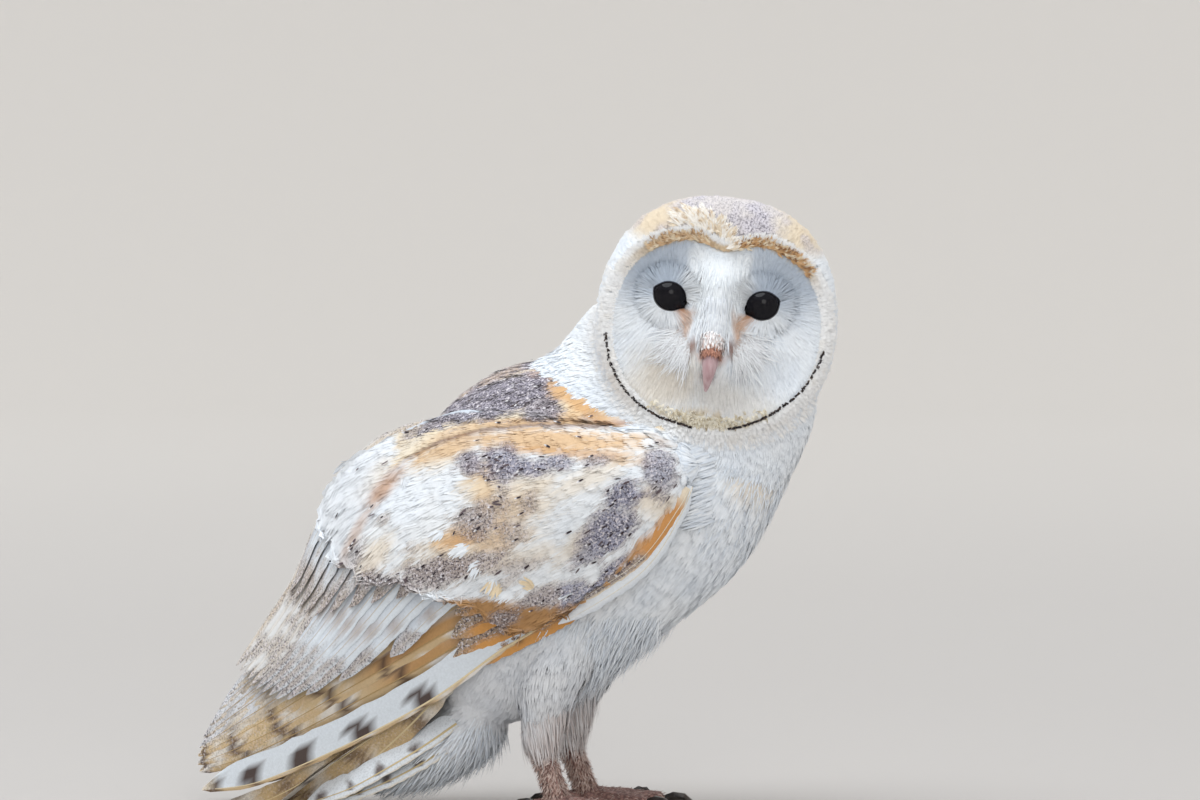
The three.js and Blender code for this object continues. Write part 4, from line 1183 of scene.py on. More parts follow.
def paint_disc(c, s, q, fr, br):
    u, v, w = head_local(c)
    x = u - FEATURE_U
    nz = noise(c, 6, 31)
    col = np.ones(c.shape) * lin(238, 243, 248)
    col = blend(col, COOL, np.clip(0.20 + 0.30 * nz + 0.22 * (br - 0.5), 0, 1) * np.ones_like(s))
    wob = 0.2 * (br - 0.5) + 0.15 * nz
    # Painted shade: blue-grey in the hollows of the dish above and outside the eyes, kept off the ridge.
    hollow_shade = np.maximum(blob(x, v, -26, 25, 17, 11, 20, 0.8, wob), blob(x, v, 26, 25, 17, 11, -20, 0.8, wob))
    hollow_shade = np.maximum(hollow_shade, 0.8 * blob(np.abs(x), v, EYE_U + 9, EYE_V + 4, 12, 7, -15, 0.9, wob))
    hollow_shade = np.maximum(hollow_shade, 0.7 * blob(np.abs(x), v, 15.5, 21, 5, 7, 0, 0.9, wob))
    col = blend(col, lin(164, 181, 202), 0.66 * hollow_shade * (1 - 0.7 * ridge_mask(x, v)))
    ridge = ridge_mask(x, v)
    col = blend(col, lin(240, 245, 249), 0.9 * ridge)
    col = blend(col, lin(206, 214, 224), 0.35 * ridge * (br < 0.3) * sm(0.2, 0.8, s))
    beige = np.maximum(blob(u, v, -21, -24, 18, 13, 35, 0.7, wob) * 0.75, blob(u, v, 12, -31, 22, 9, -15, 0.7, wob) * 0.40)
    col = blend(col, lin(224, 214, 198), beige)
    corner = np.maximum(blob(x, v, -15.2, 6.0, 5.0, 1.7, 8, 0.9, wob), blob(x, v, 15.2, 6.0, 5.0, 1.9, -8, 0.9, wob))
    run = np.maximum(blob(x, v, -11.6, -1.0, 1.2, 7.0, -12, 1.0, wob) * 0.7, blob(x, v, 10.6, -1.0, 1.4, 7.5, 16, 1.0, wob) * 0.85)
    col = blend(col, lin(204, 152, 104), 0.85 * np.maximum(corner, run))
    moss = np.maximum(blob(x, v, -8.8, -8.0, 2.0, 5.0, -30, 0.9, wob), blob(x, v, 8.8, -7.5, 2.2, 5.5, 35, 0.9, wob))
    col = blend(col, lin(142, 98, 78), 0.85 * moss)
    cere = blob(x, v, 0.3, -11.5, 4.8, 2.6, 0, 0.7, wob)
    col = blend(col, lin(208, 144, 116), 0.8 * cere)
    crust = blob(u, v, -2, -38.5, 26, 3.6, 0, 0.5, wob) * sm(-0.3, 0.4, noise(c, 2.6, 44))
    col = blend(col, lin(204, 184, 146), 0.8 * crust)
    tt = np.hypot(u, v) / disc_edge(np.arctan2(u, v))
    # Painted shade: blue-grey along the upper rim of the disc, less on the ridge.
    col = blend(col, lin(190, 202, 217), 0.70 * sm(0.80, 0.92, tt) * sm(76, 56, np.abs(np.arctan2(u, v) / DEG)) * (1 - 0.6 * ridge))
    brow = sm(0.93, 0.985, tt + 0.03 * (br - 0.5) + 0.02 * noise(c, 3, 57)) * sm(66, 38, np.abs(np.arctan2(u, v) / DEG))
    col = blend(col, lin(206, 184, 148), 0.9 * brow)
    dots = (fr > 0.97) & (blob(x, v, -10, 24, 6, 6) > 0.3)
    col = blend(col, lin(96, 90, 92), 0.7 * dots * np.ones_like(s))
    return col, np.zeros_like(s)


def disc_length(p, face):
    u, v, w = head_local(p)
    a = np.arctan2(u, v)
    x = u - FEATURE_U
    gap = disc_edge(a) * 0.99 - np.hypot(u, v)
    r = np.hypot(np.abs(x) - EYE_U, v - EYE_V)
    full = np.minimum(11, gap - 0.6)
    ridge = ridge_mask(x, v)
    full = full * (1 - ridge) + np.minimum(10.0, 9.5 + 0 * v) * ridge
    return np.clip(full, 1.4, 11) * (0.55 + 0.45 * sm(7, 16, r))


def disc_height(p, face):
    u, v, w = head_local(p)
    x = u - FEATURE_U
    edge = sm(0.80, 0.90, np.hypot(u, v) / disc_edge(np.arctan2(u, v))) * sm(84, 66, np.abs(np.arctan2(u, v) / DEG))
    return (0.75 + 0.25 * ridge_mask(x, v)) * (1 - 0.55 * edge)


gather("plumage_disc", [plume_rows(IN_DISC & (EYE_DIST > 6.6) & ((HEAD_T < 0.945) | (HEAD_C[1] < 8)), 1.0, 181, paint_disc, disc_length, 1.0, 0.12, disc_height, flow=flow_disc,
                                   nb=3, rows=4, blade=0.5, loose=0.10, bend=0.6)], MAT_SOFT, COAT)


def strands():
    """Long loose filaments that fan from beside the bill over the lower disc."""
    rng = np.random.default_rng(186)
    out = []
    for sd in (-1, 1):
        m = 150
        turn = rng.uniform(4, 88, m) * DEG
        beg = rng.uniform(0, 1, m)
        x = sd * (7.5 + 7.5 * beg)
        v = -10 + 13 * beg - 5 * beg ** 2 + rng.normal(0, 2.0, m)
        u = x + FEATURE_U
        p, f = ring(np.arctan2(u, v), np.hypot(u, v) / disc_edge(np.arctan2(u, v)))
        ok = f >= 0
        p, f, turn = p[ok], f[ok], turn[ok]
        n = field(p)[1]
        d = head_dir(sd * np.sin(turn), -np.cos(turn), 0 * turn)
        d = unit(d - n * (d * n).sum(-1, keepdims=True))

        def paint(c, s, q, fr, br):
            col = np.ones(c.shape) * lin(242, 245, 248)
            col = blend(col, lin(150, 108, 84), 0.7 * sm(0.35, 0.0, s) * (fr > 0.4))
            return blend(col, lin(206, 206, 210), 0.6 * (fr > 0.75) * np.ones_like(s)), np.zeros_like(s)
        out.append(plumes(p, f, d, 9 + 10 * rng.random(len(p)), 1.2, 0.8, 1.9, paint, 187, nb=3, rows=4, blade=0.3, flow=None, loose=0.5, start=0.0, wander=0.05))
    return out


# -------------------------------------------------------------------- ruff


def ring(a, t, h=0.0):
    """A spot on the face by its turn round the disc and its part of the way to the edge."""
    r = disc_edge(a) * t
    u, v = r * np.sin(a), r * np.cos(a)
    p = head_point(u, v, 30 + 0 * u)
    hits = []
    for q in p.reshape(-1, 3).tolist():
        hit = SKIN_BVH.ray_cast(Vector(q), Vector((-FACE).tolist()), 80)
        hits.append(list(hit[0]) + [hit[2]] if hit[0] is not None else [0, 0, 0, -1])
    hits = np.array(hits)
    return hits[:, :3].reshape(p.shape), hits[:, 3].astype(int).reshape(np.shape(a))


def ruff_dir(p, n, out=1.0, back=0.7):
    u, v, w = head_local(p)
    r = np.hypot(u, v) + 1e-6
    d = head_dir(u / r * out, v / r * out, -back + 0 * r)
    return unit(d - n * (d * n).sum(-1, keepdims=True))


def paint_ruff(c, s, q, fr, br):
    u, v, w = head_local(c)
    a = np.arctan2(u, v) / DEG
    t = np.hypot(u, v) / disc_edge(a * DEG)
    wob = 0.25 * (br - 0.5)
    col = np.ones(c.shape) * lin(246, 247, 248)
    col = blend(col, CREAM, 0.12 * sm(-0.1, 0.7, noise(c, 4, 51)))
    top = sm(68, 38, np.abs(a))
    inner = sm(1.05, 1.01, t + wob * 0.05) * top
    strong = np.maximum(np.exp(-((a - 24) / 18) ** 2), 0.6 * np.exp(-((a + 22) / 12) ** 2))
    col = blend(col, lin(208, 186, 150), inner * 0.9)
    col = blend(col, lin(190, 138, 86), inner * strong)
    col = blend(col, lin(128, 84, 52), inner * (0.2 + 0.8 * strong) * 0.85 * sm(0.0, 0.45, noise(c, 1.5, 53)))
    low = sm(140, 160, np.abs(a)) * sm(1.02, 0.98, t)
    col = blend(col, lin(214, 196, 160), 0.8 * low)
    col = blend(col, lin(120, 100, 70), low * 0.8 * sm(0.35, 0.7, noise(c, 1.5, 54)))
    # Painted shade: each feather is a little darker towards its root, where the next feathers cover it.
    return col * (0.94 + 0.06 * s)[..., None], np.zeros_like(s)


def ruff():
    rng = np.random.default_rng(191)
    parts = []
    rows = [(0.955, 1.0, 2.2, 0.9, 5), (0.978, 1.0, 2.6, 1.5, 6), (1.0, 1.0, 3.2, 1.9, 6), (1.026, 1.0, 3.8, 2.0, 6), (1.052, 1.1, 4.4, 1.9, 6),
            (1.08, 1.2, 5.0, 1.8, 6), (1.11, 1.4, 5.6, 1.7, 6)]
    for k, (t0, step, ln, h1, nb) in enumerate(rows):
        m = int(2 * math.pi * 45 / step)
        a = np.linspace(-math.pi, math.pi, m, endpoint=False) + rng.normal(0, 0.008, m)
        p, f = ring(a, t0 + rng.normal(0, 0.004, m))
        over = np.abs(a) < 66 * DEG
        ok = (f >= 0) & ~(over & (t0 > 1.04))
        p, f, a, over = p[ok], f[ok], a[ok], over[ok]
        n = field(p)[1]
        d = ruff_dir(p, n, 1.0, 0.5)
        parts.append(plumes(p, f, d, ln * np.where(over, 0.9, 1.0) * (1 + rng.normal(0, 0.05, len(p))), 1.2, 0.4, h1, paint_ruff, 192 + k, nb=nb, rows=4, blade=0.5,
                            flow=None, loose=0.035, start=0.0, tip=0.2, wander=0.04))
    return parts


def dash_line():
    """The broken dark line along the lower edge of the disc."""
    rng = np.random.default_rng(205)
    out = []
    for side in (-1, 1):
        ang = np.arange(97, 171, 0.5) if side < 0 else np.arange(95, 167, 0.5)
        keep, on, left = [], True, 8
        for k, _ in enumerate(ang):
            keep.append(on)
            left -= 1
            if left <= 0:
                on = not on
                grow = k / len(ang)
                left = int(rng.integers(3, 6) + 9 * grow) if on else int(rng.integers(2, 5) - 1.5 * grow)
        ang = ang[np.array(keep)]
        t = np.full(len(ang), 1.012) if side < 0 else np.interp(ang, [95, 109, 132, 150, 167], [1.0, 0.975, 0.955, 0.97, 1.0])
        p, f = ring(side * ang * DEG, t + rng.normal(0, 0.003, len(ang)))
        n = field(p)[1]
        d = head_dir(np.cos(ang * DEG) * side, -np.sin(ang * DEG), 0 * ang)
        d = unit(d - n * (d * n).sum(-1, keepdims=True))

        def ink(c, s, q, fr, br):
            return blend(np.ones(c.shape) * INK, lin(100, 84, 72), 0.7 * (br > 0.8) * np.ones_like(s)), np.zeros_like(s)
        out.append(plumes(p, f, d, 1.25, 0.34, 2.0, 2.65, ink, 206, nb=2, rows=3, blade=0.7, flow=None, loose=0.05, start=0.0, wander=0.04))
    return out


def brow_tuft():
    """Soft crinkled feathers where the ruff dips between the eyes."""
    rng = np.random.default_rng(215)
    m = 300
    u = rng.uniform(-22, 3.0, m)
    mid = np.interp(u, [-22, -16, -10, -3, 1.5, 3.0], [44.5, 46.5, 46, 42.5, 37, 37])
    v = mid + rng.normal(0, 2.0, m)
    a = np.arctan2(u, v)
    p, f = ring(a, np.hypot(u, v) / disc_edge(a))
    ok = f >= 0
    p, f, u, v = p[ok], f[ok], u[ok], v[ok]
    n = field(p)[1]
    d = unit(head_dir(0.09 * (u + 4) + rng.normal(0, 0.35, len(p)), 0.8 + rng.normal(0, 0.35, len(p)), 0 * p[:, 0]))
    d = unit(d - n * (d * n).sum(-1, keepdims=True))

    def paint(c, s, q, fr, br):
        col = np.ones(c.shape) * lin(247, 242, 234)
        col = blend(col, lin(228, 208, 176), 0.7 * (fr > 0.62) * np.ones_like(s))
        col = blend(col, lin(170, 132, 92), 0.7 * (fr > 0.88) * sm(0.4, 0.9, s))
        return col, np.zeros_like(s)
    return [plumes(p, f, d, 4.4, 1.0, 0.7, 2.3, paint, 216, nb=5, rows=4, blade=0.45, flow=None, loose=0.14, start=0.0)]


def brow_folds():
    """Crinkled rust and brown feathers under the ruff on both sides of the dip."""
    rng = np.random.default_rng(218)
    out = []
    for lo, hi, m, deep in ((7, 52, 330, 1.0), (-44, -9, 230, 0.7)):
        a = rng.uniform(lo, hi, m) * DEG
        t = rng.uniform(0.955, 1.012, m)
        p, f = ring(a, t)
        ok = f >= 0
        p, f, a = p[ok], f[ok], a[ok]
        n = field(p)[1]
        turn = rng.normal(0.55, 0.5, len(p)) * np.sign(hi + lo)
        d = head_dir(np.sin(a + turn), np.cos(a + turn), 0 * a)
        d = unit(d - n * (d * n).sum(-1, keepdims=True))

        def paint(c, s, q, fr, br):
            col = np.ones(c.shape) * lin(234, 218, 190)
            col = blend(col, lin(206, 160, 108), 0.85 * deep * (fr > 0.35) * np.ones_like(s))
            return blend(col, lin(124, 82, 50), 0.85 * deep * (fr > 0.70) * sm(0.25, 0.7, s)), np.zeros_like(s)
        out.append(plumes(p, f, d, 3.4, 0.7, 0.6, 1.9, paint, 219, nb=4, rows=4, blade=0.38, flow=None, loose=0.18, start=0.0))
    return out


def chin_crust():
    """Short crinkled cream feathers along the lowest edge of the disc."""
    rng = np.random.default_rng(221)
    m = 480
    a = (180 + np.clip(rng.normal(0, 16, m), -36, 36)) * DEG
    p, f = ring(a, rng.uniform(0.89, 0.985, m))
    ok = f >= 0
    p, f = p[ok], f[ok]
    n = field(p)[1]
    d = unit(head_dir(rng.normal(0, 0.8, len(p)), -0.7 + rng.normal(0, 0.6, len(p)), 0 * p[:, 0]))
    d = unit(d - n * (d * n).sum(-1, keepdims=True))

    def paint(c, s, q, fr, br):
        col = np.ones(c.shape) * lin(236, 230, 214)
        col = blend(col, lin(210, 198, 170), 0.7 * (fr > 0.5) * np.ones_like(s))
        return blend(col, lin(140, 120, 88), 0.75 * (fr > 0.82) * sm(0.3, 0.8, s)), np.zeros_like(s)
    return [plumes(p, f, d, 2.3, 0.6, 0.5, 1.6, paint, 222, nb=3, rows=4, blade=0.36, flow=None, loose=0.2, start=0.0)]


gather("plumage_ruff", ruff() + dash_line() + brow_tuft() + brow_folds() + chin_crust() + strands(), MAT_SOFT, COAT)
paint_skin()

# ----------------------------------------------------------- flight feathers
VANE_PARTS = []


def vane_mesh(p, x, n, s, up, low, rng, paint, arch=0.5, tilt=0.0, cols=9, shaft=0.45, shaft_col=lin(222, 206, 176), cut=0.06):
    """One long feather along points p, with across x and out n; up and low are its half widths."""
    rows = len(s)
    length = np.linalg.norm(np.diff(p, axis=0), axis=1).sum()
    t = np.linspace(-1, 1, cols)
    grow = 0.45 + 0.55 * sm(0, 0.18, s)
    end = np.sqrt(np.clip(1 - ((s - 0.86).clip(0) / 0.142) ** 2, 0, 1))
    wide = np.where(t[None] < 0, up, low) * (grow * end)[:, None]
    y = wide * t[None]
    jag = rng.normal(0, 1, (rows, cols)) * (np.abs(t) > 0.99)[None] * 0.22
    y = y + jag
    back = cut * np.abs(t)[None] ** 1.5 * np.minimum(wide, 6) / 6
    si = np.clip(s[:, None] - back, 0, 1)
    xi = si * (rows - 1)
    i = np.clip(xi.astype(int), 0, rows - 2)
    f = (xi - i)[..., None]
    at = lambda arr: arr[i] * (1 - f) + arr[i + 1] * f
    h = arch * (1 - t[None] ** 2) + tilt * t[None] + rng.normal(0, 0.05, (rows, cols))
    v = at(p) + at(x) * y[..., None] + at(n) * h[..., None]
    col, fl = paint(si, np.broadcast_to(t[None], si.shape), y, v, rng)
    vane = np.stack([y, si * length, np.zeros_like(y)], -1)
    VANE_PARTS.append((v.reshape(-1, 3), grid_quads(1, rows, cols), col.reshape(-1, 3), fl.reshape(-1), vane.reshape(-1, 3),
                       np.stack([np.broadcast_to((t[None] + 1) / 2, si.shape), np.broadcast_to(s[:, None], si.shape)], -1).reshape(-1, 2)))
    if shaft:
        k = slice(0, int(rows * 0.97))
        sw = shaft * (1 - 0.75 * s[k])
        tt = np.array([-1, 0, 1.0])
        vv = p[k][:, None] + x[k][:, None] * (sw[:, None] * tt)[..., None] + n[k][:, None] * (arch + 0.05 + 0.28 * sw[:, None] / shaft * (1 - np.abs(tt)))[..., None]
        m = len(p[k])
        cc = np.ones((m, 3, 3)) * shaft_col
        VANE_PARTS.append((vv.reshape(-1, 3), grid_quads(1, m, 3), cc.reshape(-1, 3), np.zeros(m * 3), np.zeros((m * 3, 3)),
                           np.stack([np.broadcast_to(0.46 + 0.04 * (tt + 1), (m, 3)), np.broadcast_to(s[k][:, None], (m, 3))], -1).reshape(-1, 2)))


def wing_vane(side, a0, b0, a1, b1, up, low, d0, d1, paint, seed, rows=36, bow=0.0, **kw):
    rng = np.random.default_rng(seed)
    s = np.linspace(0, 1, rows)
    a = a0 + (a1 - a0) * s
    b = b0 + (b1 - b0) * s + bow * np.sin(np.pi * s)
    p, ta, tb, n = wing_frame(a, b, side)
    over = np.clip(b - 1, 0, 1)[:, None]
    p = p + over * tb
    p = p + n * (d0 + (d1 - d0) * s)[:, None]
    g = unit(np.gradient(p, axis=0))
    x = unit(np.cross(n, g))
    x = x * np.sign((x * tb).sum(-1, keepdims=True))
    vane_mesh(p, x, n, s, up, low, rng, paint, **kw)


def flush_vanes(name, slot):
    """Join the feathers made so far, each on its own strip of the map."""
    global VANE_PARTS
    k = math.ceil(math.sqrt(len(VANE_PARTS)))
    out = []
    base = 0
    vs, qs, cs, fs, ws, us = [], [], [], [], [], []
    for i, (v, q, c, f, w, uv) in enumerate(VANE_PARTS):
        vs.append(v), qs.append(q + base), cs.append(c), fs.append(f), ws.append(w)
        us.append((uv * 0.9 + 0.05 + np.array([i % k, i // k])) / k)
        base += len(v)
    ob = new_mesh(name, np.concatenate(vs), np.concatenate(qs), colors=np.clip(np.concatenate(cs), 0, 1), uv=np.concatenate(us), extra=np.concatenate(ws))
    at = ob.data.attributes.new("fleck", "FLOAT", "POINT")
    at.data.foreach_set("value", np.concatenate(fs).astype(np.float32))
    VANE_PARTS = []
    tick(f"{name}: {len(ob.data.polygons) * 2} triangles")
    return finish_piece(ob, MAT_VANE, slot)


def paint_secondary(s, t, y, v, rng):
    col = np.ones(v.shape) * lin(230, 238, 246)
    # Painted shade: the half of each vane towards the wing's top edge is blue-grey.
    col = blend(col, lin(198, 208, 222), 0.6 * sm(0.3, -0.8, t))
    tipz = sm(0.70, 0.88, s + 0.10 * noise(v, 3, 61))
    col = blend(col, lin(168, 152, 140), 0.75 * tipz * sm(1.02, 0.6, s * 0.55 + 0.5 * np.abs(t)))
    col = blend(col, lin(150, 118, 92), 0.5 * bump(s - 0.62, 0.05) * (np.abs(t) < 0.7))
    # Painted shade: the vane's outermost edges are darkened by a tenth.
    return col * (1 - 0.10 * (np.abs(t) > 0.95))[..., None], 0.75 * tipz * (s < 0.99)


def paint_greater(s, t, y, v, rng):
    col = np.ones(v.shape) * lin(230, 237, 244)
    # Painted shade: the half of each vane towards the wing's top edge is blue-grey.
    col = blend(col, lin(202, 211, 224), 0.6 * sm(0.3, -0.8, t))
    tipz = sm(0.74, 0.92, s + 0.08 * noise(v, 3, 62))
    col = blend(col, lin(176, 158, 142), 0.8 * tipz)
    return col, 0.85 * tipz


def paint_tertial(s, t, y, v, rng):
    col = np.ones(v.shape) * lin(226, 226, 226)
    k = sm(0.0, 0.5, noise(v, 4, 63) + 0.3)
    col = blend(col, lin(176, 160, 144), 0.55 * k)
    col = blend(col, lin(206, 180, 140), 0.5 * bump(t + 0.5, 0.3))
    return col, 0.8 * k


def paint_primary_covert(s, t, y, v, rng):
    col = np.ones(v.shape) * lin(168, 148, 130)
    orange = sm(-0.1, 0.35, t + 0.2 * noise(v, 5, 64))
    col = blend(col, lin(218, 158, 88), orange)
    tipz = sm(0.82, 0.95, s)
    col = blend(col, lin(176, 160, 140), 0.6 * tipz)
    spot = bump(s - 0.66, 0.035) * bump(t - 0.15, 0.35)
    col = blend(col, lin(80, 60, 48), 0.8 * spot)
    return col, 0.9 * (1 - orange) * np.ones_like(s) + 0.5 * tipz * orange


def primary_painter(kind, seed):
    bars = np.array([0.36, 0.53, 0.69, 0.83, 0.955])

    def paint(s, t, y, v, rng):
        shift = 0.012 * seed
        nz = noise(v, 2.2, 65)
        bar = np.max([bump(s + 0.012 * nz - b - shift * 0.5, 0.018) for b in bars], axis=0)
        outer = np.ones(v.shape) * lin(212, 186, 146)
        outer = blend(outer, lin(236, 232, 226), sm(0.1, 0.5, noise(v, 7, 66)))
        outer = blend(outer, lin(92, 70, 58), 0.85 * sm(0.3, 0.6, bar))
        if kind == "outer":
            inner = np.ones(v.shape) * lin(226, 234, 242)
            reach = sm(0.44, 0.32, np.abs(t + 0.30 + 0.04 * nz))
            wide = np.max([sm(0.032, 0.022, np.abs(s + 0.004 * nz - b)) for b in bars], axis=0)
            inner = blend(inner, lin(70, 52, 45), 0.97 * sm(0.1, 0.75, wide * reach))
            inner = blend(inner, CREAM, 0.8 * sm(0.93, 0.98, s))
        elif kind == "mid":
            inner = np.ones(v.shape) * lin(214, 190, 150)
            inner = blend(inner, lin(232, 230, 226), 0.8 * sm(0.05, 0.45, noise(v, 6, 67) - 0.1))
            inner = blend(inner, lin(198, 150, 94), 0.85 * sm(0.50, 0.36, s))
            inner = blend(inner, lin(84, 64, 54), 0.9 * sm(0.3, 0.6, bar))
            inner = blend(inner, lin(226, 224, 220), 0.8 * sm(-0.5, -0.95, t))
        else:
            inner = np.ones(v.shape) * lin(216, 218, 222)
            inner = blend(inner, lin(150, 140, 130), 0.5 * sm(0.2, 0.6, bar) + 0.25 * sm(0, 0.6, nz))
            outer = blend(outer, lin(206, 200, 190), 0.5)
        col = np.where((t > 0.02)[..., None], outer, inner)
        tipz = sm(0.93, 0.99, s)
        fl = 0.55 * tipz + (0.45 * sm(0.5, 1.0, s) if kind == "upper" else 0.30 * sm(0.5, 0.8, s) if kind == "mid" else 0)
        return col, fl * np.ones_like(s)
    return paint


def flight_feathers(side):
    k = 500 if side < 0 else 700
    tag = "right" if side < 0 else "left"
    # primaries: the lowest is outermost, each next one tucks in above it
    prim = [(0.40, 0.985, 1.0, 1.06, 12.0, 1.6, "outer"), (0.40, 0.92, 1.0, 0.80, 7.5, 3.2, "mid"), (0.42, 0.86, 1.0, 0.66, 8, 3.4, "mid"),
            (0.44, 0.76, 0.99, 0.52, 8, 3.6, "mid"), (0.46, 0.64, 0.98, 0.40, 8.5, 4.2, "upper"), (0.47, 0.52, 0.965, 0.30, 8.5, 4.4, "upper"),
            (0.48, 0.40, 0.945, 0.22, 8, 4.6, "upper"), (0.48, 0.28, 0.92, 0.15, 7, 4.6, "upper"), (0.48, 0.17, 0.895, 0.10, 5, 4.8, "upper")]
    for i, (a0, b0, a1, b1, up, low, kind) in enumerate(prim):
        d0 = -3.3 if i == 0 else -5.6 - 0.12 * i
        wing_vane(side, a0, b0, a1, b1, up, low, d0, d0 - 0.4 if i else -3.4, primary_painter(kind, i), k + i, bow=0.02, tilt=0.35,
                  shaft=0.55 if i == 0 else 0.35, shaft_col=lin(232, 214, 176) if i == 0 else lin(190, 160, 112), cut=0.05)
    def paint_under(s, t, y, v, rng):
        col = blend(np.ones(v.shape) * lin(196, 170, 128), lin(226, 222, 214), 0.8 * sm(0.0, 0.5, noise(v, 9, 68)))
        bar = np.max([bump(s + 0.01 * noise(v, 2.5, 69) - b, 0.03) for b in (0.30, 0.52, 0.74, 0.92)], axis=0)
        return blend(col, lin(104, 82, 66), 0.75 * sm(0.3, 0.6, bar)), 0.2 * np.ones_like(s)
    for i, (a0, b0, a1, b1) in enumerate([(0.50, 0.97, 0.985, 1.22), (0.52, 0.97, 0.95, 1.34)]):
        wing_vane(side, a0, b0, a1, b1, 6.0, 4.6, -7.2 - 1.2 * i, -7.0 - 1.5 * i, paint_under, k + 20 + i, bow=-0.02, shaft=0.5, shaft_col=lin(214, 196, 156))
    flush_vanes(f"feathers_{tag}_primaries", "flight_feathers")
    # secondaries: narrow overlapping strips, a longer row under a shorter one
    tips = np.linspace(0.05, 0.775, 13)
    for i, b1 in enumerate(tips[::-1]):
        a1 = np.interp(b1, [0.05, 0.3, 0.55, 0.63, 0.70, 0.74, 0.78], [0.85, 0.835, 0.80, 0.775, 0.72, 0.66, 0.60])
        b0 = b1 * 0.94 - 0.03
        kind = paint_tertial if b1 < 0.30 else paint_secondary
        wing_vane(side, 0.36, max(b0, 0.02), a1, b1, 5.6, 3.0, -2.6 + 0.09 * i, -2.3 + 0.12 * i, kind, k + 30 + i, arch=0.7, tilt=0.4, shaft=0.3,
                  shaft_col=lin(214, 206, 196))
    tips = np.linspace(0.06, 0.80, 12)
    for i, b1 in enumerate(tips[::-1]):
        a1 = np.interp(b1, [0.06, 0.22, 0.33, 0.42, 0.50, 0.58, 0.65, 0.72, 0.80], [0.71, 0.70, 0.675, 0.635, 0.59, 0.545, 0.50, 0.46, 0.42])
        wing_vane(side, 0.26, b1 * 0.97 - 0.02 if b1 > 0.1 else b1, a1, b1, 5.4, 3.2, -0.8 + 0.06 * i, -0.7 + 0.09 * i, paint_greater, k + 50 + i, arch=0.6, tilt=0.6,
                  shaft=0.28, shaft_col=lin(214, 206, 196))
    flush_vanes(f"feathers_{tag}_secondaries", "flight_feathers")
    for i, (a0, b0, a1, b1) in enumerate([(0.26, 0.80, 0.485, 0.79), (0.27, 0.87, 0.515, 0.865), (0.27, 0.93, 0.535, 0.935), (0.28, 0.98, 0.525, 1.0)]):
        wing_vane(side, a0, b0, a1, b1, 6.2, 4.6, -2.4 - 0.3 * i, -2.6 - 0.3 * i, paint_primary_covert, k + 70 + i, arch=0.6, tilt=0.2, shaft=0.35, shaft_col=lin(206, 150, 90))
    flush_vanes(f"feathers_{tag}_primary_coverts", "flight_feathers")

    def paint_edge(s, t, y, v, rng):
        col = np.ones(v.shape) * lin(238, 243, 248)
        # Painted shade: the vane is bluer grey towards both edges.
        return blend(col, lin(214, 222, 232), 0.6 * sm(0.1, 0.9, np.abs(t))), 0 * s

    def paint_streak(s, t, y, v, rng):
        nz = noise(v, 4, 66)
        col = np.ones(v.shape) * lin(236, 222, 200)
        orange = sm(0.08, 0.2, s) * sm(0.66, 0.5, s + 0.1 * nz)
        col = blend(col, lin(214, 154, 92), orange)
        grey = sm(0.48, 0.64, s + 0.1 * nz) * sm(0.9, 0.3, t)
        return blend(col, lin(158, 146, 140), grey), 0.9 * grey
    for i, (a0, b0, a1, b1, up, low, bow, fn) in enumerate([(0.03, 0.975, 0.372, 1.0, 4.8, 2.6, 0.008, paint_edge), (0.045, 0.93, 0.34, 0.955, 4.6, 2.4, 0.0, paint_streak)]):
        wing_vane(side, a0, b0, a1, b1, up, low, 0.6 + 0.7 * i, 0.4 + 0.8 * i, fn, k + 80 + i, bow=bow, arch=0.6, tilt=-0.3, shaft=0.22, shaft_col=lin(236, 226, 206))
    flush_vanes(f"feathers_{tag}_alula", "flight_feathers")


flight_feathers(-1)
flight_feathers(1)


def back_feathers():
    """Long inner feathers that close the gap between the folded wings, over the rump."""
    def paint_back(s, t, y, v, rng):
        col = np.ones(v.shape) * lin(228, 230, 234)
        k = sm(-0.1, 0.4, noise(v, 5, 83))
        col = blend(col, lin(206, 176, 134), 0.8 * sm(0.0, 0.4, noise(v, 7, 84)) * np.ones_like(s))
        col = blend(col, lin(156, 148, 158), 0.8 * k)
        return col, 0.8 * k
    j = 0
    for a0, ends, fs, lift in ((0.36, 0.78, (-0.7, -0.35, 0.0, 0.35, 0.7), -7.5), (0.20, 0.66, (-0.88, -0.66, -0.44, -0.22, 0.0, 0.22, 0.44, 0.66, 0.88), -5.0)):
        for f in sorted(fs, key=lambda q: -abs(q)):
            s = np.linspace(0, 1, 36)
            a = a0 + (ends - 0.05 * abs(f) - a0) * s
            e = wing(a, 0.0)
            y = np.abs(e[:, 1])
            p = np.stack([e[:, 0], f * y, e[:, 2] + lift + 0.15 * (j % 3)], 1)
            g = unit(np.gradient(p, axis=0))
            x = unit(np.array([0, 1.0, -0.35 * f]) - g * (g * np.array([0, 1.0, -0.35 * f])).sum(-1, keepdims=True))
            n = unit(np.cross(g, x))
            n = n * np.sign(n[:, 2:3] - n[:, :1] * 0.5)
            vane_mesh(p, x, n, s, 5.4, 5.4, np.random.default_rng(860 + j), paint_back, arch=0.7, tilt=0.0, shaft=0.35, shaft_col=lin(206, 190, 164))
            j += 1
    return flush_vanes("feathers_back", "flight_feathers")


back_feathers()
for tag in ("right", "left"):
    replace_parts(bpy.data.objects[f"feathers_{tag}_primaries"], f"wing_{tag}_primaries")
    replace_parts(bpy.data.objects[f"feathers_{tag}_secondaries"], f"wing_{tag}_secondaries")
    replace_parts(bpy.data.objects[f"feathers_{tag}_alula"], f"wing_{tag}_alula")

# --------------------------------------------------------------------- tail
TAIL_XZ = np.array([[-64, 57], [-83, 46], [-102, 33], [-120, 18.5], [-136, 4.6], [-150, 1.6]], float)


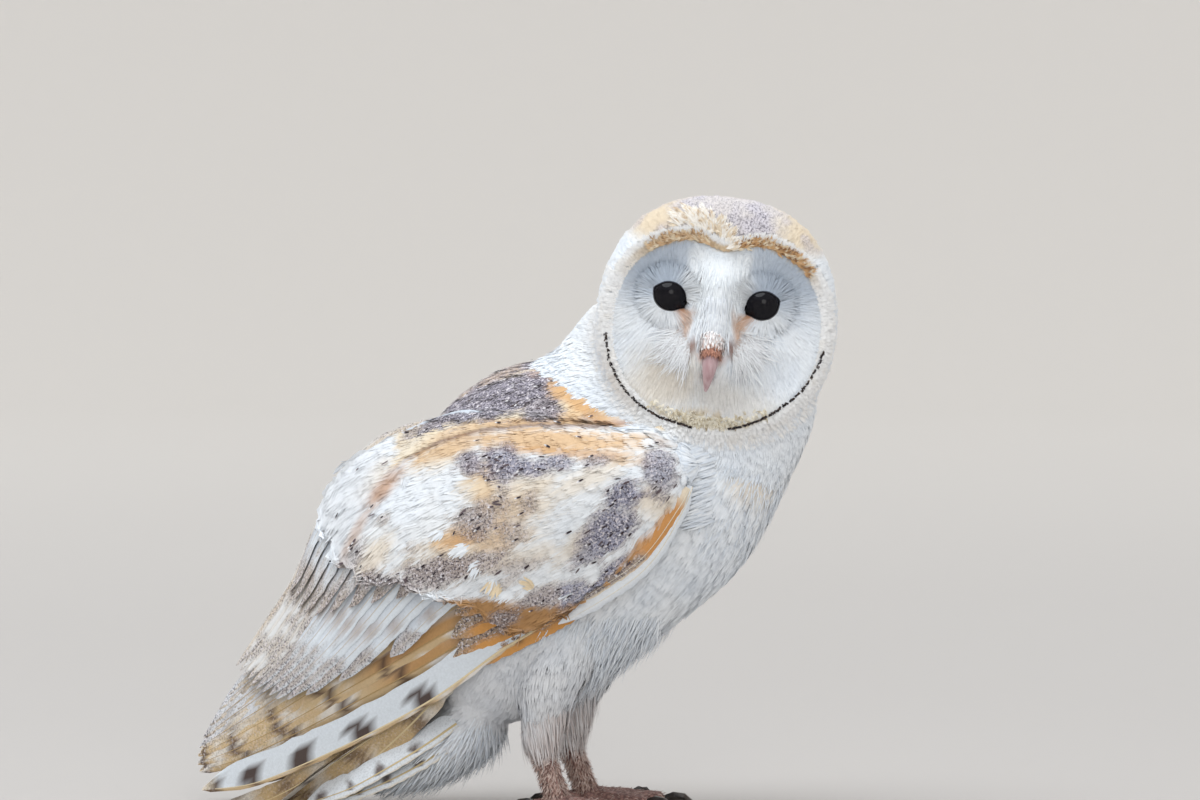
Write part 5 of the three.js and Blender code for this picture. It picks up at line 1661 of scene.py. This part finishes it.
def tail_feathers():
    order = [0, 1, -1, 2, -2, 3, -3, 4, -4, 5, -5][::-1]
    for j, i in enumerate(order):
        rng = np.random.default_rng(900 + i + 8)
        s = np.linspace(0, 1, 34)
        reach = 1 - 0.012 * abs(i)
        xz = spline(TAIL_XZ, s * reach)
        y = i * (2.8 + 2.6 * s)
        arch = 15 * (1 - s) * (y / (20 + 11 * s ** 0.8)) ** 2
        p = np.stack([xz[:, 0], y, xz[:, 1] - arch - 0.5 - 0.22 * abs(i) * (1 - s)], 1)
        p[:, 2] = np.maximum(p[:, 2], 0.35)
        g = unit(np.gradient(p, axis=0))
        x = np.tile([0.0, 1.0, 0.0], (len(s), 1))
        n = unit(np.cross(g, x))
        n = n * np.sign(n[:, 2:3])

        def paint(s, t, yy, v, rng):
            nz = noise(v, 2.5, 71)
            bar = np.max([bump(s + 0.015 * nz - b, 0.022) for b in (0.30, 0.48, 0.66, 0.84)], axis=0)
            col = np.ones(v.shape) * lin(226, 202, 160)
            col = blend(col, lin(238, 236, 232), sm(0.1, 0.9, np.abs(t)) if abs(i) < 4 else 0.75 + 0 * t)
            col = blend(col, lin(96, 78, 66), 0.85 * sm(0.3, 0.6, bar))
            col = blend(col, lin(236, 234, 230), sm(0.93, 0.98, s))
            return col, 0.5 * sm(0.80, 0.95, s) + 0.2
        vane_mesh(p, x, n, s, 6.2, 6.2, rng, paint, arch=0.35, tilt=0, shaft=0.5, shaft_col=lin(214, 190, 150))
    for side in (-1, 1):
        for j, (lift, drop, wide, span) in enumerate([(0.0, 0.0, 8.2, 1.0), (-1.6, 7.0, 7.0, 0.93)]):
            s = np.linspace(0, 1, 34)
            path = np.array([[-52, 20.5, 41 - drop], [-66, 24.0, 31 - drop], [-84, 25.0, 20 - 0.8 * drop], [-102, 23.5, 10.5 - 0.45 * drop], [-122, 21.0, 3.6 - 0.2 * drop]], float)
            p = spline(path, s * span)
            p[:, 1] = (p[:, 1] + lift) * side
            g = unit(np.gradient(p, axis=0))
            n = unit(np.array([-0.05, 0.85 * side, 0.5]))
            x = unit(np.cross(g, n))
            x = x * np.sign(x[:, 2:3])
            n = unit(np.cross(x, g))
            n = n * np.sign((n[:, 1] * side))[:, None]

            def paint_outer(s, t, yy, v, rng):
                nz = noise(v, 2.5, 72)
                bar = np.max([bump(s + 0.015 * nz - b, 0.035) for b in (0.30, 0.52, 0.72, 0.90)], axis=0) * bump(t - 0.1, 0.45)
                col = np.ones(v.shape) * lin(228, 234, 240)
                col = blend(col, lin(84, 66, 58), 0.9 * sm(0.3, 0.55, bar))
                return blend(col, lin(206, 184, 140), 0.7 * sm(-0.7, -0.9, t)), 0.15 * np.ones_like(s)
            vane_mesh(p, x, n, s, 2.6, wide, np.random.default_rng(930 + j), paint_outer, arch=0.4, tilt=0.3, shaft=0.6, shaft_col=lin(206, 186, 144))
    return flush_vanes("feathers_tail", "flight_feathers")


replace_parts(tail_feathers(), "tail")

# --------------------------------------------------------------------- eyes


def eye_material():
    def build(nt, bs):
        tc = node(nt, "ShaderNodeTexCoord")
        nz = node(nt, "ShaderNodeTexNoise", Scale=220.0, Detail=2.0)
        nt.links.new(tc.outputs["Object"], nz.inputs["Vector"])
        nt.links.new(mix_rgb(nt, nz.outputs["Fac"], (0.002, 0.002, 0.004), (0.010, 0.009, 0.012)), bs.inputs["Base Color"])
        bs.inputs["Roughness"].default_value = 0.06
        bs.inputs["Specular IOR Level"].default_value = 0.15
    return material("eye_gloss", build)


def horn_material(name, dark, light, scale, rough, streak=(1, 1, 1)):
    def build(nt, bs):
        tc = node(nt, "ShaderNodeTexCoord")
        mp = node(nt, "ShaderNodeMapping")
        mp.inputs["Scale"].default_value = streak
        nt.links.new(tc.outputs["Object"], mp.inputs["Vector"])
        nz = node(nt, "ShaderNodeTexNoise", Scale=scale, Detail=4.0, Roughness=0.6)
        nt.links.new(mp.outputs[0], nz.inputs["Vector"])
        mr = node(nt, "ShaderNodeMapRange")
        mr.inputs["From Min"].default_value, mr.inputs["From Max"].default_value = 0.35, 0.65
        nt.links.new(nz.outputs["Fac"], mr.inputs["Value"])
        nt.links.new(mix_rgb(nt, mr.outputs["Result"], tuple(dark), tuple(light)), bs.inputs["Base Color"])
        bp = node(nt, "ShaderNodeBump", Strength=0.3, Distance=0.0002)
        nt.links.new(nz.outputs["Fac"], bp.inputs["Height"])
        nt.links.new(bp.outputs[0], bs.inputs["Normal"])
        bs.inputs["Roughness"].default_value = rough
        bs.inputs["Subsurface Weight"].default_value = 0.0
    return material(name, build)


MAT_EYE = eye_material()
MAT_BILL = horn_material("bill_horn", lin(172, 138, 142), lin(202, 178, 182), 260, 0.42, (1, 1, 0.35))
MAT_CLAW = horn_material("claw_horn", lin(28, 24, 24), lin(64, 54, 50), 300, 0.32)
MAT_LID = horn_material("lid_skin", lin(58, 46, 50), lin(128, 104, 104), 500, 0.6)


def leg_material():
    def build(nt, bs):
        tc = node(nt, "ShaderNodeTexCoord")
        vo = node(nt, "ShaderNodeTexVoronoi", Scale=620.0)
        nz = node(nt, "ShaderNodeTexNoise", Scale=350.0, Detail=3.0)
        nt.links.new(tc.outputs["Object"], vo.inputs["Vector"])
        nt.links.new(tc.outputs["Object"], nz.inputs["Vector"])
        c1 = mix_rgb(nt, nz.outputs["Fac"], tuple(lin(132, 94, 88)), tuple(lin(186, 150, 140)))
        mr = node(nt, "ShaderNodeMapRange")
        mr.inputs["From Min"].default_value, mr.inputs["From Max"].default_value = 0.25, 0.65
        mr.inputs["To Min"].default_value, mr.inputs["To Max"].default_value = 0.0, 0.7
        nt.links.new(vo.outputs["Distance"], mr.inputs["Value"])
        nt.links.new(mix_rgb(nt, mr.outputs["Result"], c1, tuple(lin(96, 70, 66))), bs.inputs["Base Color"])
        bp = node(nt, "ShaderNodeBump", Strength=0.7, Distance=0.0004, invert=True)
        nt.links.new(vo.outputs["Distance"], bp.inputs["Height"])
        nt.links.new(bp.outputs[0], bs.inputs["Normal"])
        bs.inputs["Roughness"].default_value = 0.7
    return material("leg_scales", build)


MAT_LEG = leg_material()
for nme, ob in NODES.items():
    mat = MAT_CLAW if nme.startswith("claw") else MAT_LEG if nme.startswith(("tarsus", "foot")) else None
    if mat:
        ob.data.materials.clear()
        ob.data.materials.append(mat)
        ob.data.polygons.foreach_set("use_smooth", np.ones(len(ob.data.polygons), bool))
        ob.data.update()


def round_grid(name, p, mat, slot, close=True):
    """A closed tube from rings of points, rows x columns."""
    rows, cols = p.shape[:2]
    i, j = np.meshgrid(np.arange(rows - 1), np.arange(cols), indexing="ij")
    a, b = (i * cols + j).ravel(), (i * cols + (j + 1) % cols).ravel()
    q = np.stack([a, b, b + cols, a + cols], 1)
    uv = np.stack(np.broadcast_arrays(np.arange(cols)[None] / cols, np.linspace(0, 1, rows)[:, None]), -1)
    ob = new_mesh(name, p.reshape(-1, 3), q, colors=np.ones((rows * cols, 3)), uv=uv.reshape(-1, 2))
    return finish_piece(ob, mat, slot)


def eyes():
    for sd, tag in ((-1, "right"), (1, "left")):
        th = np.linspace(0.001, math.pi - 0.001, 40)[:, None]
        ph = np.linspace(0, 2 * math.pi, 64, endpoint=False)[None]
        r = EYE_R * (1 + 0.012 * bump(th, 0.55))
        p = head_point(sd * EYE_U + FEATURE_U + r * np.sin(th) * np.cos(ph), EYE_V + r * np.sin(th) * np.sin(ph), EYE_W + r * np.cos(th) * np.ones_like(ph))
        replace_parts(round_grid(f"eyeball_{tag}", p, MAT_EYE, "eye"), f"eye_{tag}")


def bill_half(name, node_name, ctrl, radii, deep):
    ctrl = np.array(ctrl, float)
    n = 30
    s = np.linspace(0, 1, n)
    c = spline(ctrl, s)
    r = spline(np.array(radii, float)[:, None], s)[:, 0] * 3.95
    g = unit(np.gradient(c, axis=0))
    across = np.array([1.0, 0, 0])
    out = unit(np.cross(across, g))
    ph = np.linspace(0, 2 * math.pi, 28, endpoint=False)
    cs, sn = np.cos(ph)[None], np.sin(ph)[None]
    end = np.sqrt(np.clip(1 - ((s - 0.93).clip(0) / 0.0705) ** 2, 0.0, 1))[:, None]
    wide, tall = r[:, None] * cs * (1 - 0.18 * np.abs(sn)) * end, r[:, None] * deep * (np.sign(sn) * np.abs(sn) ** 0.9) * end
    p = c[:, None] + across * wide[..., None] + out[:, None] * tall[..., None]
    p = head_point(p[..., 0] + FEATURE_U, p[..., 1], p[..., 2])
    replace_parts(round_grid(name, p, MAT_BILL, "bill"), node_name)


eyes()
bill_half("bill_top", "bill_upper", [[0, -2, 24], [0, -9.5, 34.8], [-0.3, -18, 38.4], [-0.8, -26, 35.2]], [1.0, 0.98, 0.66, 0.16], 1.0)
bill_half("bill_under", "bill_lower", [[0, -10.5, 22], [0, -16.5, 28], [-0.3, -20, 31.5], [-0.6, -23, 32.6]], [0.8, 0.78, 0.56, 0.28], 0.9)


def lid_radius(a):
    near = lambda c, wd: bump(np.arctan2(np.sin(a - c), np.cos(a - c)), wd)
    r = 1 / np.sqrt((np.cos(a + 0.25) / 6.6) ** 2 + (np.sin(a + 0.25) / 5.7) ** 2)
    return r + 1.5 * near(-0.46, 0.27) + 0.7 * near(math.pi - 0.40, 0.24)


def eyelids():
    """Thin dark rims round the almond openings, pointed towards the bill."""
    vs, qs, cs, us = [], [], [], []
    base = 0
    for sd in (-1, 1):
        m, rows = 96, 7
        a = np.linspace(0, 2 * math.pi, m, endpoint=False)
        cu, cv = -sd * np.cos(a), np.sin(a)
        r = lid_radius(a)
        for k in range(rows):
            f = k / (rows - 1)
            rr = r + 0.1 + 2.9 * f
            lift = 0.2 + 0.5 * math.sin(math.pi * min(f * 2.2, 1.0)) - 3.2 * max(f - 0.4, 0)
            front = np.sqrt(np.clip(EYE_R ** 2 - np.minimum(rr - 0.1, 8.15) ** 2, 0.0, None))
            vs.append(head_point(sd * EYE_U + FEATURE_U + cu * rr, EYE_V + cv * rr, EYE_W + front + lift))
            rim = np.tile(lin(22, 18, 22), (m, 1))
            # The rim is dark; further out the lid is white, with painted shade in grey-blue on the upper side.
            cs.append(blend(rim, blend(np.tile(lin(232, 238, 244), (m, 1)), lin(150, 163, 184), sm(-0.3, 0.5, np.sin(a))), np.full(m, sm(0.12, 0.36, f))))
            us.append(np.stack([np.arange(m) / m, np.full(m, (sd + 1) / 4 + f * 0.45)], 1))
        i = np.arange(m)
        for k in range(rows - 1):
            qs.append(np.stack([base + k * m + i, base + k * m + (i + 1) % m, base + (k + 1) * m + (i + 1) % m, base + (k + 1) * m + i], 1))
        base += m * rows
    ob = new_mesh("eyelids", np.concatenate(vs), np.concatenate(qs), colors=np.concatenate(cs), uv=np.concatenate(us))
    return finish_piece(ob, MAT_SKIN, "white_plumage")


def lashes():
    """Fine filaments from the rims out over the disc, so that no bare lid shows."""
    rng = np.random.default_rng(288)
    out = []
    for sd in (-1, 1):
        m = 2400
        a = rng.uniform(0, 2 * math.pi, m)
        cu, cv = -sd * np.cos(a), np.sin(a)
        r0 = lid_radius(a) + 0.4 + 1.5 * rng.random(m) ** 1.3
        front = np.sqrt(np.clip(EYE_R ** 2 - np.minimum(r0, 8.15) ** 2, 0.0, None))
        p0 = head_point(sd * EYE_U + FEATURE_U + cu * r0, EYE_V + cv * r0, EYE_W + front + 0.45)
        ln = rng.uniform(2.2, 9.0, m)
        turn = rng.normal(0, 0.2, m)
        eu, ev = cu * np.cos(turn) - cv * np.sin(turn), cv * np.cos(turn) + cu * np.sin(turn)
        u1, v1 = sd * EYE_U + FEATURE_U + cu * r0 + eu * ln, EYE_V + cv * r0 + ev * ln
        t1 = np.hypot(u1, v1) / disc_edge(np.arctan2(u1, v1))
        p1, f1 = ring(np.arctan2(u1, v1), t1)
        ok = f1 >= 0
        p0, p1, a = p0[ok], p1[ok] + FACE * rng.uniform(0.6, 1.25, (int(ok.sum()), 1)), a[ok]
        d = p1 - p0
        ln = np.linalg.norm(d, axis=1)
        ok = ln < 10.5
        p0, d, ln, a = p0[ok], unit(d[ok]), ln[ok], a[ok]
        k = len(p0)
        near = lambda c, wd: bump(np.arctan2(np.sin(a - c), np.cos(a - c)), wd)
        warm = near(-0.75, 0.34)
        one = np.ones((k, 1, 1))
        shade = lambda pts: paint_disc(pts[:, None, None], one, 0 * one, 0.5 * one, rng.random((k, 1, 1)))[0].reshape(k, 3)
        end = shade(p0 + d * ln[:, None])
        # Painted shade: the roots are greyer on the upper side of the eye.
        root = blend(shade(p0 + d * (ln * 0.7)[:, None]), lin(122, 132, 150), (0.12 + 0.22 * rng.random(k)) * (0.05 + 0.95 * sm(-0.4, 0.5, np.sin(a))))
        root = blend(root, lin(190, 132, 90), 0.8 * warm)
        # Painted shade: filaments on the upper side of the eye are darkened.
        upper_side_shade = (1 - 0.16 * sm(-0.3, 0.5, np.sin(a)))[:, None]
        nn = unit(field(p0 + d * (0.6 * ln)[:, None])[1] + 0.4 * FACE)
        out.append(loose_blades(p0, d, nn, ln, 0.42, 0.35, root * upper_side_shade, blend(end, lin(212, 166, 122), 0.5 * warm) * upper_side_shade))
    return out


def cere():
    """Bristly feathers over the root of the bill: white from the ridge, rust at the ends."""
    rng = np.random.default_rng(291)
    ctrl = np.array([[0, -2, 24], [0, -9.5, 34.8], [-0.3, -18, 38.4], [-0.8, -26, 35.2]], float)
    out = []
    for lo, hi, l0, l1, m, kind in ((0.0, 0.20, 4.0, 7.0, 1000, 0), (0.12, 0.29, 2.8, 4.6, 520, 2), (0.26, 0.395, 1.6, 3.6, 460, 1)):
        s = rng.uniform(lo, hi, m)
        ph = rng.uniform(-0.15, math.pi + 0.15, m)
        c = spline(ctrl, s)
        c2 = spline(ctrl, s + 0.01)
        g = unit(c2 - c)
        up = -unit(np.cross(np.array([1.0, 0, 0]), g))
        rad = np.interp(s, [0, 0.33, 0.66, 1], [4.1, 3.9, 2.7, 0.7])
        o = np.array([1.0, 0, 0]) * np.cos(ph)[:, None] + up * np.sin(ph)[:, None]
        q = c + o * (rad + (0.25 if kind == 1 else 0.25 + 0.6 * rng.random(m)))[:, None]
        d = unit(g + o * (0.10 if kind == 1 else 0.07) + rng.normal(0, 0.10, (m, 3)))
        tip = q + d
        p0 = head_point(q[:, 0] + FEATURE_U, q[:, 1], q[:, 2])
        p1 = head_point(tip[:, 0] + FEATURE_U, tip[:, 1], tip[:, 2])
        oo = head_dir(o[:, 0], o[:, 1], o[:, 2])
        f = rng.random(m)
        if kind == 1:
            root = blend(np.tile(lin(216, 164, 140), (m, 1)), lin(170, 116, 96), 0.8 * f)
            end = blend(np.tile(lin(206, 150, 128), (m, 1)), lin(128, 84, 70), f)
        else:
            root = blend(np.tile(lin(248, 248, 248), (m, 1)), lin(226, 222, 222), f)
            end = blend(root, lin(198, 142, 114), (0.8 if kind else 0.25) * (f > 0.5))
        out.append(loose_blades(p0, unit(p1 - p0), oo, rng.uniform(l0, l1, m), 0.42 if kind == 1 else 0.72, 0.35, root, end))
    m = 700
    x, v = np.clip(rng.normal(0.2, 2.6, m), -6, 6), -3 + 19 * rng.random(m) ** 1.5
    u = x + FEATURE_U
    p, f = ring(np.arctan2(u, v), np.hypot(u, v) / disc_edge(np.arctan2(u, v)))
    ok = f >= 0
    p, x = p[ok], x[ok]
    m = len(p)
    n = field(p)[1]
    d = head_dir(0.03 * x + rng.normal(0, 0.06, m), -0.9 + 0 * x, 0.34 + 0 * x)
    d = unit(unit(d - n * (d * n).sum(-1, keepdims=True)) + n * 0.10 + d * 0.35)
    white = blend(np.tile(lin(240, 244, 248), (m, 1)), lin(214, 221, 230), 0.8 * rng.random(m))
    out.append(loose_blades(p + n * 0.2, d, n, rng.uniform(5, 9, m), 0.55, 0.75, white, white))
    return out


eyelids()
gather("plumage_lashes", lashes() + cere(), MAT_SOFT, COAT)

# --------------------------------------------------------------------- legs


def node_mesh(nme):
    me = NODES[nme].data
    v = np.zeros(len(me.vertices) * 3, np.float32)
    me.vertices.foreach_get("co", v)
    me.calc_loop_triangles()
    t = np.zeros(len(me.loop_triangles) * 3, np.int32)
    me.loop_triangles.foreach_get("vertices", t)
    return to_mm(v.reshape(-1, 3).astype(float)), t.reshape(-1, 3)


def bristles(names, spacing, seed, length, wide, paint, down=0.8, stand=0.5):
    rng = np.random.default_rng(seed)
    out = []
    for nme in names:
        v, t = node_mesh(nme)
        nn = np.cross(v[t[:, 1]] - v[t[:, 0]], v[t[:, 2]] - v[t[:, 0]])
        ar = np.linalg.norm(nn, axis=1)
        cnt = int(ar.sum() / 2 / spacing ** 2)
        pick = rng.choice(len(t), cnt, p=ar / ar.sum())
        a, b = rng.random((2, cnt, 1))
        flip = a + b > 1
        a, b = np.where(flip, 1 - a, a), np.where(flip, 1 - b, b)
        p = v[t[pick, 0]] * (1 - a - b) + v[t[pick, 1]] * a + v[t[pick, 2]] * b
        n = unit(nn[pick])
        ok = p[:, 2] > 2.2
        p, n = p[ok], n[ok]
        m = len(p)
        lengthv = length * (0.6 + 0.8 * rng.random(m))
        toe = nme.startswith("foot")
        d = np.array([0, 0, -1.0]) if not toe else np.array([1.0, 0, -0.2])
        dirn = unit(unit(np.tile(d, (m, 1)) + rng.normal(0, 0.35, (m, 3))) * down + n * stand)
        dirn = dirn - n * np.minimum((dirn * n).sum(-1, keepdims=True), 0) * 1.0
        side = unit(np.cross(dirn, n) + 1e-6)
        u = np.array([0, 0.5, 1.0])
        c = p[:, None] + dirn[:, None] * (lengthv[:, None] * u)[..., None] - n[:, None] * (0.28 * stand * lengthv[:, None] * u ** 2)[..., None]
        c[..., 2] = np.maximum(c[..., 2], 0.3)
        wv = wide * np.array([0.8, 1, 0.15]) * 0.5
        verts = np.stack([c - side[:, None] * wv[:, None], c + side[:, None] * wv[:, None]], 2)
        col = paint(p, rng.random(m))[:, None, None, :] * np.array([0.8, 1.0, 1.12])[None, :, None, None] * np.ones((m, 3, 2, 1))
        flat = (p - v.min(0)) / (v.max(0) - v.min(0) + 1e-6)
        uv = np.stack([0.05 + 0.85 * flat[:, 0], 0.05 + 0.85 * flat[:, 2]], -1)[:, None, None, :] * np.ones((m, 3, 2, 1)) + np.array([-0.0012, 0.0012])[None, None, :, None] * 0.5
        out.append((verts.reshape(-1, 3), grid_quads(m, 3, 2), col.reshape(-1, 3), np.zeros(m * 6), uv.reshape(-1, 2)))
    return out


def paint_leg(p, r):
    up = sm(22, 36, p[:, 2])
    col = blend(np.tile(lin(172, 140, 128), (len(p), 1)), lin(226, 206, 196), r ** 2)
    col = blend(col, lin(110, 84, 78), 0.8 * (r < 0.25))
    return blend(col, lin(224, 222, 222), up * (r > 0.3))


def paint_cuff(p, r):
    return blend(np.tile(lin(232, 232, 234), (len(p), 1)), lin(200, 196, 196), r)


def cuffs():
    rng = np.random.default_rng(310)
    out = []
    for sd in (-1, 1):
        m = 1500
        a = rng.uniform(0, 2 * math.pi, m)
        z = rng.uniform(37, 56, m)
        r = 7.2 + (z - 37) * 0.24
        c = np.stack([-15.4 + (z - 38) * 0.21, np.full(m, sd * 18.3), z], 1)
        o = np.stack([np.cos(a), np.sin(a), 0 * a], 1)
        ln = rng.uniform(9, 16, m)
        lean = np.clip((r - 5.0) / ln * 0.62, 0, 0.42)
        d = unit(np.array([0.16, 0, -1]) - o * lean[:, None] + rng.normal(0, 0.05, (m, 3)))
        out.append(loose_blades(c + o * r[:, None], d, o, ln, 0.55, 0.7, tone(m, rng, lin(236, 238, 242), lin(206, 206, 210)), tone(m, rng, lin(232, 230, 230), lin(202, 186, 180))))
    return out


gather("plumage_cuffs", cuffs(), MAT_SOFT, COAT)
gather("bristles_legs", bristles(["tarsus_right", "tarsus_left"], 0.62, 301, 3.0, 0.42, paint_leg, 0.8, 0.55) +
       bristles(["foot_right", "foot_left"], 1.25, 302, 1.7, 0.32, paint_leg, 0.8, 0.5), MAT_SOFT, "leg_skin")

bpy.context.view_layer.update()
tick("done")
